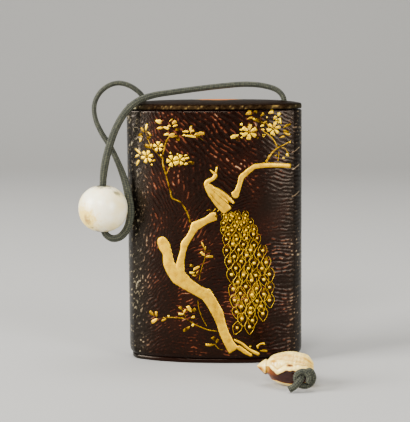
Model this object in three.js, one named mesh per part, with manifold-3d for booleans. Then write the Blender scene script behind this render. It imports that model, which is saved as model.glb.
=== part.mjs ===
// Inro case: a small lacquered case that stands upright, with a lift-off lid, a carrying cord that
// runs through a round bead, and a shell toggle knotted on the cord's tail.
// Millimetres, +Z up. The decorated front faces -Y. The origin is the middle of the underside.

import * as THREE from 'three';
import { mergeVertices } from 'three/addons/utils/BufferGeometryUtils.js';
import Module from 'manifold-3d';

const wasm = await Module();
wasm.setup();

// ---------------------------------------------------------------- driving dimensions

const GAP = 0.3; // clearance between pieces that meet

const CASE = {
  halfWidth: 30, // out to the rounded sides
  halfDepth: 12.2, // out to the middle of the front and of the back
  ridgeX: 27.6, // the upright ridges between the faces and the sides
  ridgeY: 6,
  faceCurve: 2.6, // how late the faces turn in towards the ridges
  seam: 86.4, // height of the joint under the lid
  wall: 2,
  floor: 3,
  insideX: 20.6, // half length of the hollow, between the two cord channels
};

const FOOT = { inset: 0.9, height: 1.3, grooveInset: 1.35, grooveTop: 1.6, ease: 0.3 };
const LOWER_EDGE = { start: 1.9, inset: 0.75, middle: 2.7, middleInset: 0.25, end: 4.2 };
const LID = { rim: 88.5, crest: 89.7, ease: 0.35, plateUnderside: 87.4, lipDepth: 4, lipWall: 1.8 };
const CHANNEL = { x: 24, radius: 1.3, sides: 16 };
const TAIL_GROOVE = { width: 2.6, height: 2.3 };

const CORD = { radius: 0.9, sides: 8, steps: 76 };
const TAIL = { radius: 0.9, sides: 8, steps: 22 };

const BEAD = {
  x: -37.4, y: -9.3, z: 53, radius: 8.4, halfHeight: 8, bore: 1.3, mouth: 2.0, mouthDepth: 1.6,
};

const SHELL = {
  tipX: 16.45, y: -39.9, z: 5.4, length: 18.1, turn: -3, // degrees about +Z
  tipLift: 0.7, ribs: 10, ribDepth: 0.02,
  mouthDepth: 0.15, lipAngle: -0.14, lipEase: 0.2, rimAngle: 0.88,
};

// The turn narrows and slides sideways from its outer to its inner centre. Angles are in degrees.
const KNOT = {
  startAngle: 60, sweep: 460, steps: 16, advance: 1.4, y: -46.9, z: 4.2,
  outerX: 31.9, outerRadius: 2.6, innerX: 30.9, innerRadius: 2.1,
};

// The carrying cord, from inside the right channel, over the lid, down through the bead, round
// behind the falling strand, over the top and into the left channel.
const CARRYING_ROUTE = [
  [24, 0, 78.6], [24, 0, 86], [23.9, 0, 90.1], [21.9, 0.1, 92.6], [17.4, -0.1, 94.2],
  [11, -0.6, 94.8], [3.2, -1.7, 94.3], [-5.3, -3.3, 93.4], [-14, -5.4, 92.3],
  [-19.8, -7.1, 91.4], [-24.3, -8.5, 89.9], [-28.1, -9.6, 87], [-31.7, -10.2, 81.8],
  [-34.7, -10.3, 74.4], [-36.6, -9.9, 67], [-37.3, -9.4, 61], [-37.4, -9.3, 53],
  [-37.3, -9.3, 46], [-36.4, -9.3, 43.9], [-34.4, -9.2, 42.7], [-31.8, -9, 43.2],
  [-29.7, -8.8, 45.4], [-28.5, -8.6, 48.5], [-28.1, -8.4, 52], [-28.7, -7.9, 56.6],
  [-30.1, -7.2, 62.4], [-32, -6.8, 67.6], [-35, -6.5, 73.9], [-38.2, -6.1, 79],
  [-40.2, -5.5, 83.6], [-40.6, -4.6, 88.2], [-39, -3.5, 92], [-36, -2.4, 94.6],
  [-32.6, -1.6, 95.5], [-29.4, -1.2, 94.8], [-26.6, -0.7, 93.1], [-24.7, -0.2, 91.1],
  [-24, 0, 88.8], [-24, 0, 78.6],
];

// The tail, from the foot of the right channel, over the table and up through the toggle.
const TAIL_ROUTE = [
  [24, 0.6, 1.2], [24, -3, 1.2], [24, -6, 1.2], [24, -9, 1.15], [24.1, -12.4, 1.1],
  [24.5, -15.8, 1.1], [25.3, -19.2, 1.1], [26.5, -22.5, 1.2], [27.9, -25.6, 1.6],
  [29.2, -28.7, 2.3], [30.1, -31.8, 3.3], [30.5, -34.6, 4.1], [30.6, -37.2, 4.4],
  [30.6, -40, 4.45], [30.6, -43, 4.45], [30.6, -45.9, 4.45],
];

// The cut end of the cord, from the knot's middle over its lower edge to the table.
const CUT_END_ROUTE = [
  [30.6, -46.7, 4.4], [30.6, -47.7, 4.2], [30.3, -48.7, 3.8], [29.4, -49.4, 2.9], [28.2, -49.6, 1.8],
  [26.9, -49.6, 1],
];

// ---------------------------------------------------------------- solids and geometries

// A closed three.js geometry as a solid that can be joined and cut.
function solidOf(geometry) {
  geometry.deleteAttribute('normal');
  geometry.deleteAttribute('uv');
  const merged = mergeVertices(geometry, 1e-4);
  const corners = Array.from(merged.index.array);
  const triVerts = [];
  for (let i = 0; i < corners.length; i += 3) {
    const [a, b, c] = corners.slice(i, i + 3);
    if (a !== b && b !== c && c !== a) {
      triVerts.push(a, b, c);
    }
  }
  return new wasm.Manifold(new wasm.Mesh({
    numProp: 3,
    vertProperties: new Float32Array(merged.attributes.position.array),
    triVerts: new Uint32Array(triVerts),
  }));
}

function geometryOf(solid) {
  const { vertProperties, triVerts } = solid.getMesh();
  const geometry = new THREE.BufferGeometry();
  geometry.setAttribute('position', new THREE.BufferAttribute(vertProperties, 3));
  geometry.setIndex(new THREE.BufferAttribute(triVerts, 1));
  geometry.computeVertexNormals();
  return geometry;
}

// A turned form whose round section is given another outline by place(column, radius, height).
function reshapedLathe(profile, columns, place) {
  const geometry = new THREE.LatheGeometry(profile, columns);
  const position = geometry.attributes.position;
  for (let i = 0; i < position.count; i += 1) {
    const column = Math.floor(i / profile.length) % columns;
    const { x, y } = profile[i % profile.length];
    const [px, py, pz] = place(column, x, y);
    position.setXYZ(i, px, py, pz);
  }
  return solidOf(geometry);
}

function uprightPrism(points, bottom, top) {
  const shape = new THREE.Shape(points);
  const geometry = new THREE.ExtrudeGeometry(shape, { depth: top - bottom, bevelEnabled: false });
  geometry.translate(0, 0, bottom);
  return solidOf(geometry);
}

function uprightCylinder(x, y, radius, bottom, top, sides) {
  const geometry = new THREE.CylinderGeometry(radius, radius, top - bottom, sides);
  geometry.rotateX(Math.PI / 2);
  geometry.translate(x, y, (top + bottom) / 2);
  return solidOf(geometry);
}

// A round cord of flat sides along a smooth curve through the route's points.
function cordTube(route, radius, sides, steps) {
  const points = route.map(([x, y, z]) => new THREE.Vector3(x, y, z));
  const path = new THREE.CatmullRomCurve3(points, false, 'centripetal');
  const section = new THREE.Shape();
  for (let i = 0; i < sides; i += 1) {
    const angle = (i / sides) * 2 * Math.PI;
    const corner = [radius * Math.cos(angle), radius * Math.sin(angle)];
    if (i === 0) {
      section.moveTo(...corner);
    } else {
      section.lineTo(...corner);
    }
  }
  return solidOf(new THREE.ExtrudeGeometry(section, { steps, extrudePath: path }));
}

// ---------------------------------------------------------------- the case's outline

// Distance of the front or back face from the middle plane.
function faceY(x) {
  const rise = 1 - (Math.abs(x) / CASE.ridgeX) ** CASE.faceCurve;
  return CASE.ridgeY + (CASE.halfDepth - CASE.ridgeY) * rise;
}

// Distance of the rounded side from the middle.
function sideX(y) {
  return CASE.ridgeX + (CASE.halfWidth - CASE.ridgeX) * (1 - (y / CASE.ridgeY) ** 2);
}

// The outline from the front's middle, anticlockwise from above, in quarters that mirror.
function caseOutline() {
  const faceSteps = 13;
  const sideSteps = 4;
  const quarter = [];
  for (let i = 0; i < faceSteps; i += 1) {
    const x = CASE.ridgeX * Math.sin((i / faceSteps) * (Math.PI / 2));
    quarter.push([x, -faceY(x)]);
  }
  for (let i = 0; i <= sideSteps; i += 1) {
    const y = -CASE.ridgeY * (1 - i / sideSteps);
    quarter.push([sideX(y), y]);
  }
  const half = quarter.concat(quarter.slice(0, -1).reverse().map(([x, y]) => [x, -y]));
  return half.concat(half.slice(1, -1).reverse().map(([x, y]) => [-x, y]));
}

const OUTLINE = caseOutline();

// A ring keeps an even distance from the outline near the edge and closes to a point in the middle.
function onPlan(column, radius, height) {
  const inset = CASE.halfDepth - radius;
  const closing = (1 - CASE.halfDepth / CASE.halfWidth) * (inset / CASE.halfDepth) ** 3;
  const alongX = 1 - inset / CASE.halfWidth - closing;
  const [x, y] = OUTLINE[column];
  return [x * alongX, y * (radius / CASE.halfDepth), height];
}

// A solid over the case's outline, from [inset, height] pairs that run from bottom to top.
function overOutline(pairs) {
  const profile = pairs.map(([inset, height]) => new THREE.Vector2(CASE.halfDepth - inset, height));
  return reshapedLathe(profile, OUTLINE.length, onPlan);
}

// The outline of the hollow, or of what drops into it: an even wall along the faces, square ends.
function hollowOutline(wall, endX) {
  const steps = 16;
  const front = [];
  for (let i = 0; i <= steps; i += 1) {
    const x = -endX + (2 * endX * i) / steps;
    front.push(new THREE.Vector2(x, wall - faceY(x)));
  }
  return front.concat(front.map(({ x, y }) => new THREE.Vector2(-x, -y)));
}

function cordChannel(side) {
  const over = 2;
  return uprightCylinder(side * CHANNEL.x, 0, CHANNEL.radius, -over, LID.crest + over, CHANNEL.sides);
}

// ---------------------------------------------------------------- pieces

function caseBody() {
  const top = CASE.seam - GAP / 2;
  const middle = CASE.halfDepth;
  const outer = overOutline([
    [middle, 0], [FOOT.inset + FOOT.ease, 0], [FOOT.inset, FOOT.ease], [FOOT.inset, FOOT.height],
    [FOOT.grooveInset, FOOT.grooveTop], [LOWER_EDGE.inset, LOWER_EDGE.start],
    [LOWER_EDGE.middleInset, LOWER_EDGE.middle], [0, LOWER_EDGE.end],
    [0, top - GAP], [GAP, top], [middle, top],
  ]);
  const hollow = uprightPrism(hollowOutline(CASE.wall, CASE.insideX), CASE.floor, top + 1);
  const tailGroove = new THREE.BoxGeometry(
    TAIL_GROOVE.width, CASE.halfDepth + CHANNEL.radius, 2 * TAIL_GROOVE.height,
  );
  tailGroove.translate(CHANNEL.x, (CHANNEL.radius - CASE.halfDepth) / 2, 0);
  return outer.subtract(hollow)
    .subtract(cordChannel(1))
    .subtract(cordChannel(-1))
    .subtract(solidOf(tailGroove));
}

function lid() {
  const bottom = CASE.seam + GAP / 2;
  const middle = CASE.halfDepth;
  const doming = [1, 3, 5.5, 8.5, middle];
  const dome = doming.map((inset) => {
    const rise = 1 - (1 - inset / middle) ** 2;
    const first = 1 - (1 - doming[0] / middle) ** 2;
    return [inset, LID.rim + (LID.crest - LID.rim) * ((rise - first) / (1 - first))];
  });
  const outer = overOutline([
    [middle, bottom], [GAP, bottom], [0, bottom + GAP], [0, LID.rim - 2 * LID.ease],
    [LID.ease, LID.rim - LID.ease / 2], ...dome,
  ]);
  const lipWall = CASE.wall + GAP;
  const lip = uprightPrism(hollowOutline(lipWall, CASE.insideX - GAP), bottom - LID.lipDepth, bottom + 1);
  const recess = uprightPrism(
    hollowOutline(lipWall + LID.lipWall, CASE.insideX - GAP - LID.lipWall),
    bottom - LID.lipDepth - 1, LID.plateUnderside,
  );
  return outer.add(lip).subtract(recess).subtract(cordChannel(1)).subtract(cordChannel(-1));
}

function bead() {
  const arcSteps = 14;
  const start = Math.asin(BEAD.mouth / BEAD.radius);
  const profile = [];
  for (let i = 0; i <= arcSteps; i += 1) {
    const angle = start + (i / arcSteps) * (Math.PI - 2 * start);
    profile.push(new THREE.Vector2(BEAD.radius * Math.sin(angle), -BEAD.halfHeight * Math.cos(angle)));
  }
  const mouthHeight = BEAD.halfHeight * Math.cos(start) - BEAD.mouthDepth;
  profile.push(new THREE.Vector2(BEAD.bore, mouthHeight));
  profile.push(new THREE.Vector2(BEAD.bore, -mouthHeight));
  profile.push(profile[0].clone());
  const geometry = new THREE.LatheGeometry(profile, 28);
  geometry.rotateX(Math.PI / 2);
  geometry.translate(BEAD.x, BEAD.y, BEAD.z);
  return solidOf(geometry);
}

// Radius of the shell at a share of its length from the tip: a short spire with one suture, then
// the body whorl, which rounds in to a blunt end.
function shellRadius(share) {
  const spire = 2.5 * Math.min(1, share / 0.15) ** 0.8;
  const swell = 2.85 * Math.sin(Math.PI * THREE.MathUtils.clamp((share - 0.19) / 0.86, 0, 1)) ** 0.62;
  const suture = 0.35 * Math.exp(-(((share - 0.205) / 0.03) ** 2));
  const rounding = Math.sqrt(1 - 0.7 * (Math.max(0, share - 0.82) / 0.18) ** 2);
  return (spire + swell - suture) * rounding;
}

// How far a place on the shell lies in its mouth, from 0 to 1. The upper lip hangs down in one wave.
function shellMouth(share, angle) {
  const { smoothstep } = THREE.MathUtils;
  const lip = SHELL.lipAngle + 0.32 * Math.exp(-(((share - 0.385) / 0.085) ** 2))
    - 0.25 * (1 - smoothstep(share, 0.2, 0.3));
  const rim = SHELL.rimAngle + 0.7 * (1 - smoothstep(share, 0.2, 0.36));
  return smoothstep(angle, lip, lip + SHELL.lipEase) * (1 - smoothstep(angle, rim - SHELL.lipEase, rim))
    * smoothstep(share, 0.12, 0.26) * (1 - smoothstep(share, 0.84, 0.96));
}

function shellToggle() {
  const columns = 36;
  const rings = 26;
  const profile = [new THREE.Vector2(0, 0)];
  for (let i = 1; i < rings; i += 1) {
    const share = i / rings;
    profile.push(new THREE.Vector2(shellRadius(share), share * SHELL.length));
  }
  profile.push(new THREE.Vector2(0, SHELL.length));
  const onShell = (column, radius, along) => {
    const share = along / SHELL.length;
    const turned = (column / columns) * 2 * Math.PI;
    const angle = Math.atan2(Math.sin(turned), Math.cos(turned));
    const body = THREE.MathUtils.smoothstep(share, 0.2, 0.4);
    const rib = SHELL.ribDepth * body * Math.cos(SHELL.ribs * angle);
    const reach = radius * (1 + rib - SHELL.mouthDepth * shellMouth(share, angle));
    const lift = SHELL.tipLift * (1 - share) ** 2;
    return [along, -reach * Math.cos(angle), lift - reach * Math.sin(angle)];
  };
  const form = reshapedLathe(profile, columns, onShell)
    .rotate([0, 0, SHELL.turn])
    .translate([SHELL.tipX, SHELL.y, SHELL.z]);
  const bore = new THREE.CylinderGeometry(TAIL.radius + GAP, TAIL.radius + GAP, 16, 12);
  const [boreX, , boreZ] = TAIL_ROUTE.at(-1);
  bore.translate(boreX, SHELL.y, boreZ);
  return form.subtract(solidOf(bore));
}

// A turn and a quarter of cord at the toggle's mouth, with the cut end drawn out through its middle.
// The turn laps over itself, so it is swept in lengths that don't, each a step into the next.
function endKnot() {
  const [startX, startY, startZ] = TAIL_ROUTE.at(-1);
  const turn = [];
  for (let i = 0; i <= KNOT.steps; i += 1) {
    const share = i / KNOT.steps;
    const angle = THREE.MathUtils.degToRad(KNOT.startAngle - share * KNOT.sweep);
    const radius = THREE.MathUtils.lerp(KNOT.outerRadius, KNOT.innerRadius, share);
    const middleX = THREE.MathUtils.lerp(KNOT.outerX, KNOT.innerX, share);
    turn.push([
      middleX + radius * Math.cos(angle), KNOT.y - share * KNOT.advance, KNOT.z + radius * Math.sin(angle),
    ]);
  }
  const half = KNOT.steps / 2;
  const lengths = [
    [[startX, startY - GAP, startZ], [startX, startY - 2 * TAIL.radius, startZ]],
    [[startX, startY - 1.2 * TAIL.radius, startZ], [startX + 1, startY - 1.3 * TAIL.radius, startZ + 1], turn[0]],
    turn.slice(0, half + 2), turn.slice(half), CUT_END_ROUTE,
  ];
  return lengths
    .map((route) => cordTube(route, TAIL.radius, TAIL.sides, 3 * route.length))
    .reduce((knot, strand) => knot.add(strand));
}

// ---------------------------------------------------------------- assembly

function finish(color, roughness, metalness = 0) {
  return new THREE.MeshStandardMaterial({ color, roughness, metalness });
}

const inroCase = new THREE.Group();

function addPiece(name, solid, material) {
  const mesh = new THREE.Mesh(geometryOf(solid), material);
  mesh.name = name;
  inroCase.add(mesh);
}

const lacquer = finish('#2a140b', 0.22);
const braid = finish('#62644e', 0.9);

addPiece('case_body', caseBody(), lacquer);
addPiece('lid', lid(), lacquer.clone());
addPiece('carrying_cord', cordTube(CARRYING_ROUTE, CORD.radius, CORD.sides, CORD.steps), braid);
addPiece('bead', bead(), finish('#efe7d6', 0.35));
addPiece('tail_cord', cordTube(TAIL_ROUTE, TAIL.radius, TAIL.sides, TAIL.steps), braid.clone());
addPiece('shell_toggle', shellToggle(), finish('#eadcb4', 0.3));
addPiece('end_knot', endKnot(), braid.clone());

export default inroCase;
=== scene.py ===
"""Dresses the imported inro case: rippled lacquer, a gold picture, braided cord, bead and shell toggle.

Sizes are in millimetres and become metres where a mesh is placed. The case stands on Z = 0 with its
decorated front towards -Y.
"""

import logging
import math
from dataclasses import dataclass, field
from enum import Enum
from typing import Callable, Sequence

import bmesh
import bpy
from mathutils import Matrix, Vector, noise


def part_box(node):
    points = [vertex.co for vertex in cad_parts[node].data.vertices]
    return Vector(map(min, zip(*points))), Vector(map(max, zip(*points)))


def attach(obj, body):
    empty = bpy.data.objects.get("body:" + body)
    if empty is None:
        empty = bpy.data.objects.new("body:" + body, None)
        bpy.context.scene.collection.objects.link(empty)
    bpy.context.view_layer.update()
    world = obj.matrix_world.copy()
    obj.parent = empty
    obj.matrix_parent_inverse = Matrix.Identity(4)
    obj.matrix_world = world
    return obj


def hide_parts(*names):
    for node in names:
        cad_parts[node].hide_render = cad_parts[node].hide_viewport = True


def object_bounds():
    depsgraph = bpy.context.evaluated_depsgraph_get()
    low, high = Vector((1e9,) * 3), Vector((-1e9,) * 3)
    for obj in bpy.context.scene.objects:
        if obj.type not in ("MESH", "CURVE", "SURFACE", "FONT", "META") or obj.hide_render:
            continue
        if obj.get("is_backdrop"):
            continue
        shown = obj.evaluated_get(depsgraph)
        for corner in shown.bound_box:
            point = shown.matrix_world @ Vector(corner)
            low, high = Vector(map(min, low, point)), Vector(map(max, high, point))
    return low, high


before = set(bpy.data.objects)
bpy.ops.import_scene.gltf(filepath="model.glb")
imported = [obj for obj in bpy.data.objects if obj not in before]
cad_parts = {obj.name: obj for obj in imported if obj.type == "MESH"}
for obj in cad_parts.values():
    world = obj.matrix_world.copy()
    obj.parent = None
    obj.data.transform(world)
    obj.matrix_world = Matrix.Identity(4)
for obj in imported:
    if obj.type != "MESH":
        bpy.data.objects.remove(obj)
cad_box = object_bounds()

logging.basicConfig(level=logging.INFO, format="%(message)s")
log = logging.getLogger("inro")

MM = 0.001
TURN = 2 * math.pi
BODY = "root"

Place = Callable[[float, float], Vector]
Tint = Callable[[Vector], float]
Shade = Callable[[float, float], float]

# The three routes are in metres, as the frame is. The carrying cord runs from inside the right
# channel over the lid, down through the bead, round behind the falling strand, over the top and
# into the left channel.
CARRYING_ROUTE = [
    (0.024, 0, 0.0786), (0.024, 0, 0.086), (0.0239, 0, 0.0901), (0.0219, 0.0001, 0.0926),
    (0.0174, -0.0001, 0.0942), (0.011, -0.0006, 0.0948), (0.0032, -0.0017, 0.0943),
    (-0.0053, -0.0033, 0.0934), (-0.014, -0.0054, 0.0923), (-0.0198, -0.0071, 0.0914),
    (-0.0243, -0.0085, 0.0899), (-0.0281, -0.0096, 0.087), (-0.0317, -0.0102, 0.0818),
    (-0.0347, -0.0103, 0.0744), (-0.0366, -0.0099, 0.067), (-0.0373, -0.0094, 0.061),
    (-0.0374, -0.0093, 0.053), (-0.0373, -0.0093, 0.046), (-0.0364, -0.0093, 0.0439),
    (-0.0344, -0.0092, 0.0427), (-0.0318, -0.009, 0.0432), (-0.0297, -0.0088, 0.0454),
    (-0.0285, -0.0086, 0.0485), (-0.0281, -0.0084, 0.052), (-0.0287, -0.0079, 0.0566),
    (-0.0301, -0.0072, 0.0624), (-0.032, -0.0068, 0.0676), (-0.035, -0.0065, 0.0739),
    (-0.0382, -0.0061, 0.079), (-0.0402, -0.0055, 0.0836), (-0.0406, -0.0046, 0.0882),
    (-0.039, -0.0035, 0.092), (-0.036, -0.0024, 0.0946), (-0.0326, -0.0016, 0.0955),
    (-0.0294, -0.0012, 0.0948), (-0.0266, -0.0007, 0.0931), (-0.0247, -0.0002, 0.0911),
    (-0.024, 0, 0.0888), (-0.024, 0, 0.0786),
]

# The tail runs from the foot of the right channel over the table and up through the toggle.
TAIL_ROUTE = [
    (0.024, 0.0006, 0.0012), (0.024, -0.003, 0.0012), (0.024, -0.006, 0.0012),
    (0.024, -0.009, 0.00115), (0.0241, -0.0124, 0.0011), (0.0245, -0.0158, 0.0011),
    (0.0253, -0.0192, 0.0011), (0.0265, -0.0225, 0.0012), (0.0279, -0.0256, 0.0016),
    (0.0292, -0.0287, 0.0023), (0.0301, -0.0318, 0.0033), (0.0305, -0.0346, 0.0041),
    (0.0306, -0.0372, 0.0044), (0.0306, -0.04, 0.00445), (0.0306, -0.043, 0.00445),
    (0.0306, -0.0459, 0.00445),
]

# The cut end of the cord runs from the knot's middle over its lower edge to the table.
CUT_END_ROUTE = [
    (0.0306, -0.0467, 0.0044), (0.0306, -0.0477, 0.0042), (0.0303, -0.0487, 0.0038),
    (0.0294, -0.0494, 0.0029), (0.0282, -0.0496, 0.0018), (0.0269, -0.0496, 0.001),
]

# How much wider than round each cord lies, at shares of its length.
CARRYING_WIDTHS = (
    (0, 1), (0.06, 1), (0.25, 1.1), (0.36, 1.35), (0.44, 1.45), (0.47, 1.3), (0.56, 1.3),
    (0.6, 1.45), (0.66, 1.45), (0.74, 1.1), (0.82, 0.92), (1, 1),
)
TAIL_WIDTHS = ((0, 1), (0.4, 1.1), (0.8, 1))
CUT_END_WIDTHS = ((0, 1.1), (1, 1.2))


# ---------------------------------------------------------------- small tools


def linear(colour: str) -> tuple[float, float, float, float]:
    """Turns an sRGB hex colour into linear RGBA.

    Args:
        colour: Six hex digits after a hash sign.

    Returns:
        The linear red, green, blue and an alpha of one.
    """
    shares = [int(colour[i:i + 2], 16) / 255 for i in (1, 3, 5)]
    red, green, blue = [
        share / 12.92 if share <= 0.04045 else ((share + 0.055) / 1.055) ** 2.4 for share in shares
    ]
    return red, green, blue, 1.0


def smooth(low: float, high: float, value: float) -> float:
    """Rises smoothly from 0 at low to 1 at high."""
    share = min(1.0, max(0.0, (value - low) / (high - low)))
    return share * share * (3 - 2 * share)


def add_node(
    tree: bpy.types.NodeTree, kind: str, inputs: dict | None = None, **settings: object,
) -> bpy.types.Node:
    """Adds a shader node with its settings, socket values and links.

    Args:
        tree: The material's node tree.
        kind: The node's Blender type.
        inputs: Values or output sockets, by input name or number.
        settings: Properties of the node itself.

    Returns:
        The new node.
    """
    node = tree.nodes.new(kind)
    for name, value in settings.items():
        setattr(node, name, value)
    for key, value in (inputs or {}).items():
        if isinstance(value, bpy.types.NodeSocket):
            tree.links.new(value, node.inputs[key])
        else:
            node.inputs[key].default_value = value
    return node


def colour_ramp(
    tree: bpy.types.NodeTree, share: bpy.types.NodeSocket, stops: dict[float, str],
) -> bpy.types.NodeSocket:
    """Adds a colour ramp over a share from 0 to 1.

    Args:
        tree: The material's node tree.
        share: The socket that drives the ramp.
        stops: Hex colours by their place on the ramp.

    Returns:
        The ramp's colour output.
    """
    ramp = add_node(tree, "ShaderNodeValToRGB", {0: share})
    elements = ramp.color_ramp.elements
    while len(elements) < len(stops):
        elements.new(0.5)
    for element, (place, colour) in zip(elements, sorted(stops.items())):
        element.position = place
        element.color = linear(colour)
    return ramp.outputs[0]


def new_material(
    name: str, values: dict[str, float | Sequence[float]],
) -> tuple[bpy.types.Material, bpy.types.NodeTree, bpy.types.Node]:
    """Makes a material and sets what is the same all over its surface.

    Args:
        name: The material's name.
        values: Values for the principled shader's sockets, by name.

    Returns:
        The material, its node tree and its principled shader.
    """
    material = bpy.data.materials.new(name)
    material.use_nodes = True
    shader = material.node_tree.nodes["Principled BSDF"]
    for socket, value in values.items():
        shader.inputs[socket].default_value = value
    return material, material.node_tree, shader


def new_object(name: str, mesh: bmesh.types.BMesh, rounded: bool = True) -> bpy.types.Object:
    """Turns a bmesh in metres into an object at the scene's origin.

    Args:
        name: The name of the object and its mesh.
        mesh: Its mesh, which is freed.
        rounded: Whether its faces are shaded smoothly.

    Returns:
        The new object.
    """
    for face in mesh.faces:
        face.smooth = rounded
    data = bpy.data.meshes.new(name)
    mesh.to_mesh(data)
    mesh.free()
    thing = bpy.data.objects.new(name, data)
    bpy.context.scene.collection.objects.link(thing)
    return thing


def object_of(
    name: str, mesh: bmesh.types.BMesh, material: bpy.types.Material,
) -> bpy.types.Object:
    """Turns a bmesh in metres into a smooth-shaded piece that rides on the case.

    Args:
        name: The piece's name.
        mesh: Its mesh, which is freed.
        material: Its finish.

    Returns:
        The new object, at the origin.
    """
    piece = new_object(name, mesh)
    piece.data.materials.append(material)
    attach(piece, BODY)
    log.info("made %s with %d faces", name, len(piece.data.polygons))
    return piece


def add_grid(
    mesh: bmesh.types.BMesh, columns: int, rows: int, place: Place,
    shade: Shade | None = None, uv_size: tuple[float, float] = (1.0, 1.0),
) -> list[bmesh.types.BMVert]:
    """Adds a grid whose corners are moved by place(u, v), with u and v from 0 to 1.

    Args:
        mesh: The bmesh to add to.
        columns: Faces along u.
        rows: Faces along v.
        place: Gives each corner's place in millimetres.
        shade: Gives each corner's value of the "shade" attribute.
        uv_size: What u and v are multiplied by in the UV map.

    Returns:
        The new vertices.
    """
    uv_map = mesh.loops.layers.uv.get("UVMap") or mesh.loops.layers.uv.new("UVMap")
    tone = mesh.verts.layers.float.get("shade") or mesh.verts.layers.float.new("shade")
    new = bmesh.ops.create_grid(mesh, x_segments=columns, y_segments=rows, size=0.5)["verts"]
    shares = {vert: (vert.co.x + 0.5, vert.co.y + 0.5) for vert in new}
    for face in {face for vert in new for face in vert.link_faces}:
        for loop in face.loops:
            u, v = shares[loop.vert]
            loop[uv_map].uv = (u * uv_size[0], v * uv_size[1])
    for vert, (u, v) in shares.items():
        vert.co = place(u, v) * MM
        if shade:
            vert[tone] = shade(u, v)
    return new


def closed_grid(
    columns: int, rows: int, place: Place, shade: Shade | None = None,
    uv_size: tuple[float, float] = (1.0, 1.0),
) -> bmesh.types.BMesh:
    """Makes one grid, merges the edges that meet and fills the ends that stay open.

    Args:
        columns: Faces along u.
        rows: Faces along v.
        place: Gives each corner's place in millimetres.
        shade: Gives each corner's value of the "shade" attribute.
        uv_size: What u and v are multiplied by in the UV map.

    Returns:
        A closed bmesh in metres.
    """
    mesh = bmesh.new()
    add_grid(mesh, columns, rows, place, shade, uv_size)
    bmesh.ops.remove_doubles(mesh, verts=mesh.verts, dist=1e-7)
    bmesh.ops.dissolve_degenerate(mesh, edges=mesh.edges, dist=1e-8)
    rims = [edge for edge in mesh.edges if edge.is_boundary]
    if rims:
        bmesh.ops.holes_fill(mesh, edges=rims, sides=0)
    bmesh.ops.recalc_face_normals(mesh, faces=mesh.faces)
    return mesh


def settle(mesh: bmesh.types.BMesh) -> None:
    """Puts corners and faces in an order that is the same each run, which some operators don't.

    Args:
        mesh: The bmesh to sort.
    """
    places = (
        (mesh.verts, lambda corner: corner.co[:]),
        (mesh.faces, lambda face: face.calc_center_median()[:]),
    )
    for parts, place in places:
        for index, part in enumerate(sorted(parts, key=place)):
            part.index = index
        parts.sort()


def drilled(piece: bpy.types.Object, cutters: Sequence[bmesh.types.BMesh]) -> None:
    """Cuts closed shapes out of a piece and keeps the result as its mesh.

    Args:
        piece: The piece to cut.
        cutters: The closed shapes, which are freed.
    """
    for cutter in cutters:
        bmesh.ops.recalc_face_normals(cutter, faces=cutter.faces)
        tool = new_object("cutter", cutter, rounded=False)
        cut = piece.modifiers.new("cut", "BOOLEAN")
        cut.operation = "DIFFERENCE"
        cut.solver = "EXACT"
        cut.object = tool
        bpy.context.view_layer.update()
        evaluated = piece.evaluated_get(bpy.context.evaluated_depsgraph_get())
        result = bpy.data.meshes.new_from_object(evaluated)
        piece.modifiers.clear()
        spare = (piece.data, tool.data)
        piece.data = result
        bpy.data.objects.remove(tool)
        for data in spare:
            bpy.data.meshes.remove(data)


def rod(start: Sequence[float], end: Sequence[float], radius: float) -> bmesh.types.BMesh:
    """Makes a round cutter between two points.

    Args:
        start: One end's middle in millimetres.
        end: The other end's middle in millimetres.
        radius: Its radius in millimetres.

    Returns:
        A closed bmesh in metres.
    """
    mesh = bmesh.new()
    first, last = Vector(start) * MM, Vector(end) * MM
    length = (last - first).length
    bmesh.ops.create_cone(
        mesh, cap_ends=True, segments=40, radius1=radius * MM, radius2=radius * MM, depth=length,
    )
    turn = (last - first).to_track_quat("Z", "Y").to_matrix().to_4x4()
    bmesh.ops.transform(mesh, matrix=Matrix.Translation((first + last) / 2) @ turn, verts=mesh.verts)
    return mesh


def smooth_route(points: Sequence[Sequence[float]], per_span: int) -> list[Vector]:
    """Samples a centripetal Catmull-Rom curve through points.

    Args:
        points: The points that the curve runs through.
        per_span: Samples between one point and the next.

    Returns:
        The samples, ends included.
    """
    knots = [Vector(point) for point in points]
    knots = [2 * knots[0] - knots[1], *knots, 2 * knots[-1] - knots[-2]]
    samples = []
    for before, start, end, after in zip(knots, knots[1:], knots[2:], knots[3:]):
        gap_0 = max(1e-6, (start - before).length ** 0.5)
        gap_1 = max(1e-6, (end - start).length ** 0.5)
        gap_2 = max(1e-6, (after - end).length ** 0.5)
        leave = (start - before) / gap_0 - (end - before) / (gap_0 + gap_1) + (end - start) / gap_1
        arrive = (end - start) / gap_1 - (after - start) / (gap_1 + gap_2) + (after - end) / gap_2
        leave, arrive = leave * gap_1, arrive * gap_1
        for step in range(per_span):
            t = step / per_span
            samples.append(
                start * (2 * t ** 3 - 3 * t ** 2 + 1) + leave * (t ** 3 - 2 * t ** 2 + t)
                + end * (3 * t ** 2 - 2 * t ** 3) + arrive * (t ** 3 - t ** 2)
            )
    samples.append(knots[-2].copy())
    return samples


def even_steps(samples: Sequence[Vector], step: float) -> list[Vector]:
    """Walks along samples in equal steps.

    Args:
        samples: Points along a curve.
        step: About how far apart the new points are.

    Returns:
        Evenly spaced points, ends included.
    """
    lengths = [0.0]
    for a, b in zip(samples, samples[1:]):
        lengths.append(lengths[-1] + (b - a).length)
    count = max(2, round(lengths[-1] / step))
    result, i = [], 0
    for k in range(count + 1):
        goal = lengths[-1] * k / count
        while i < len(lengths) - 2 and lengths[i + 1] < goal:
            i += 1
        share = (goal - lengths[i]) / max(1e-12, lengths[i + 1] - lengths[i])
        result.append(samples[i].lerp(samples[i + 1], share))
    return result


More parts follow.
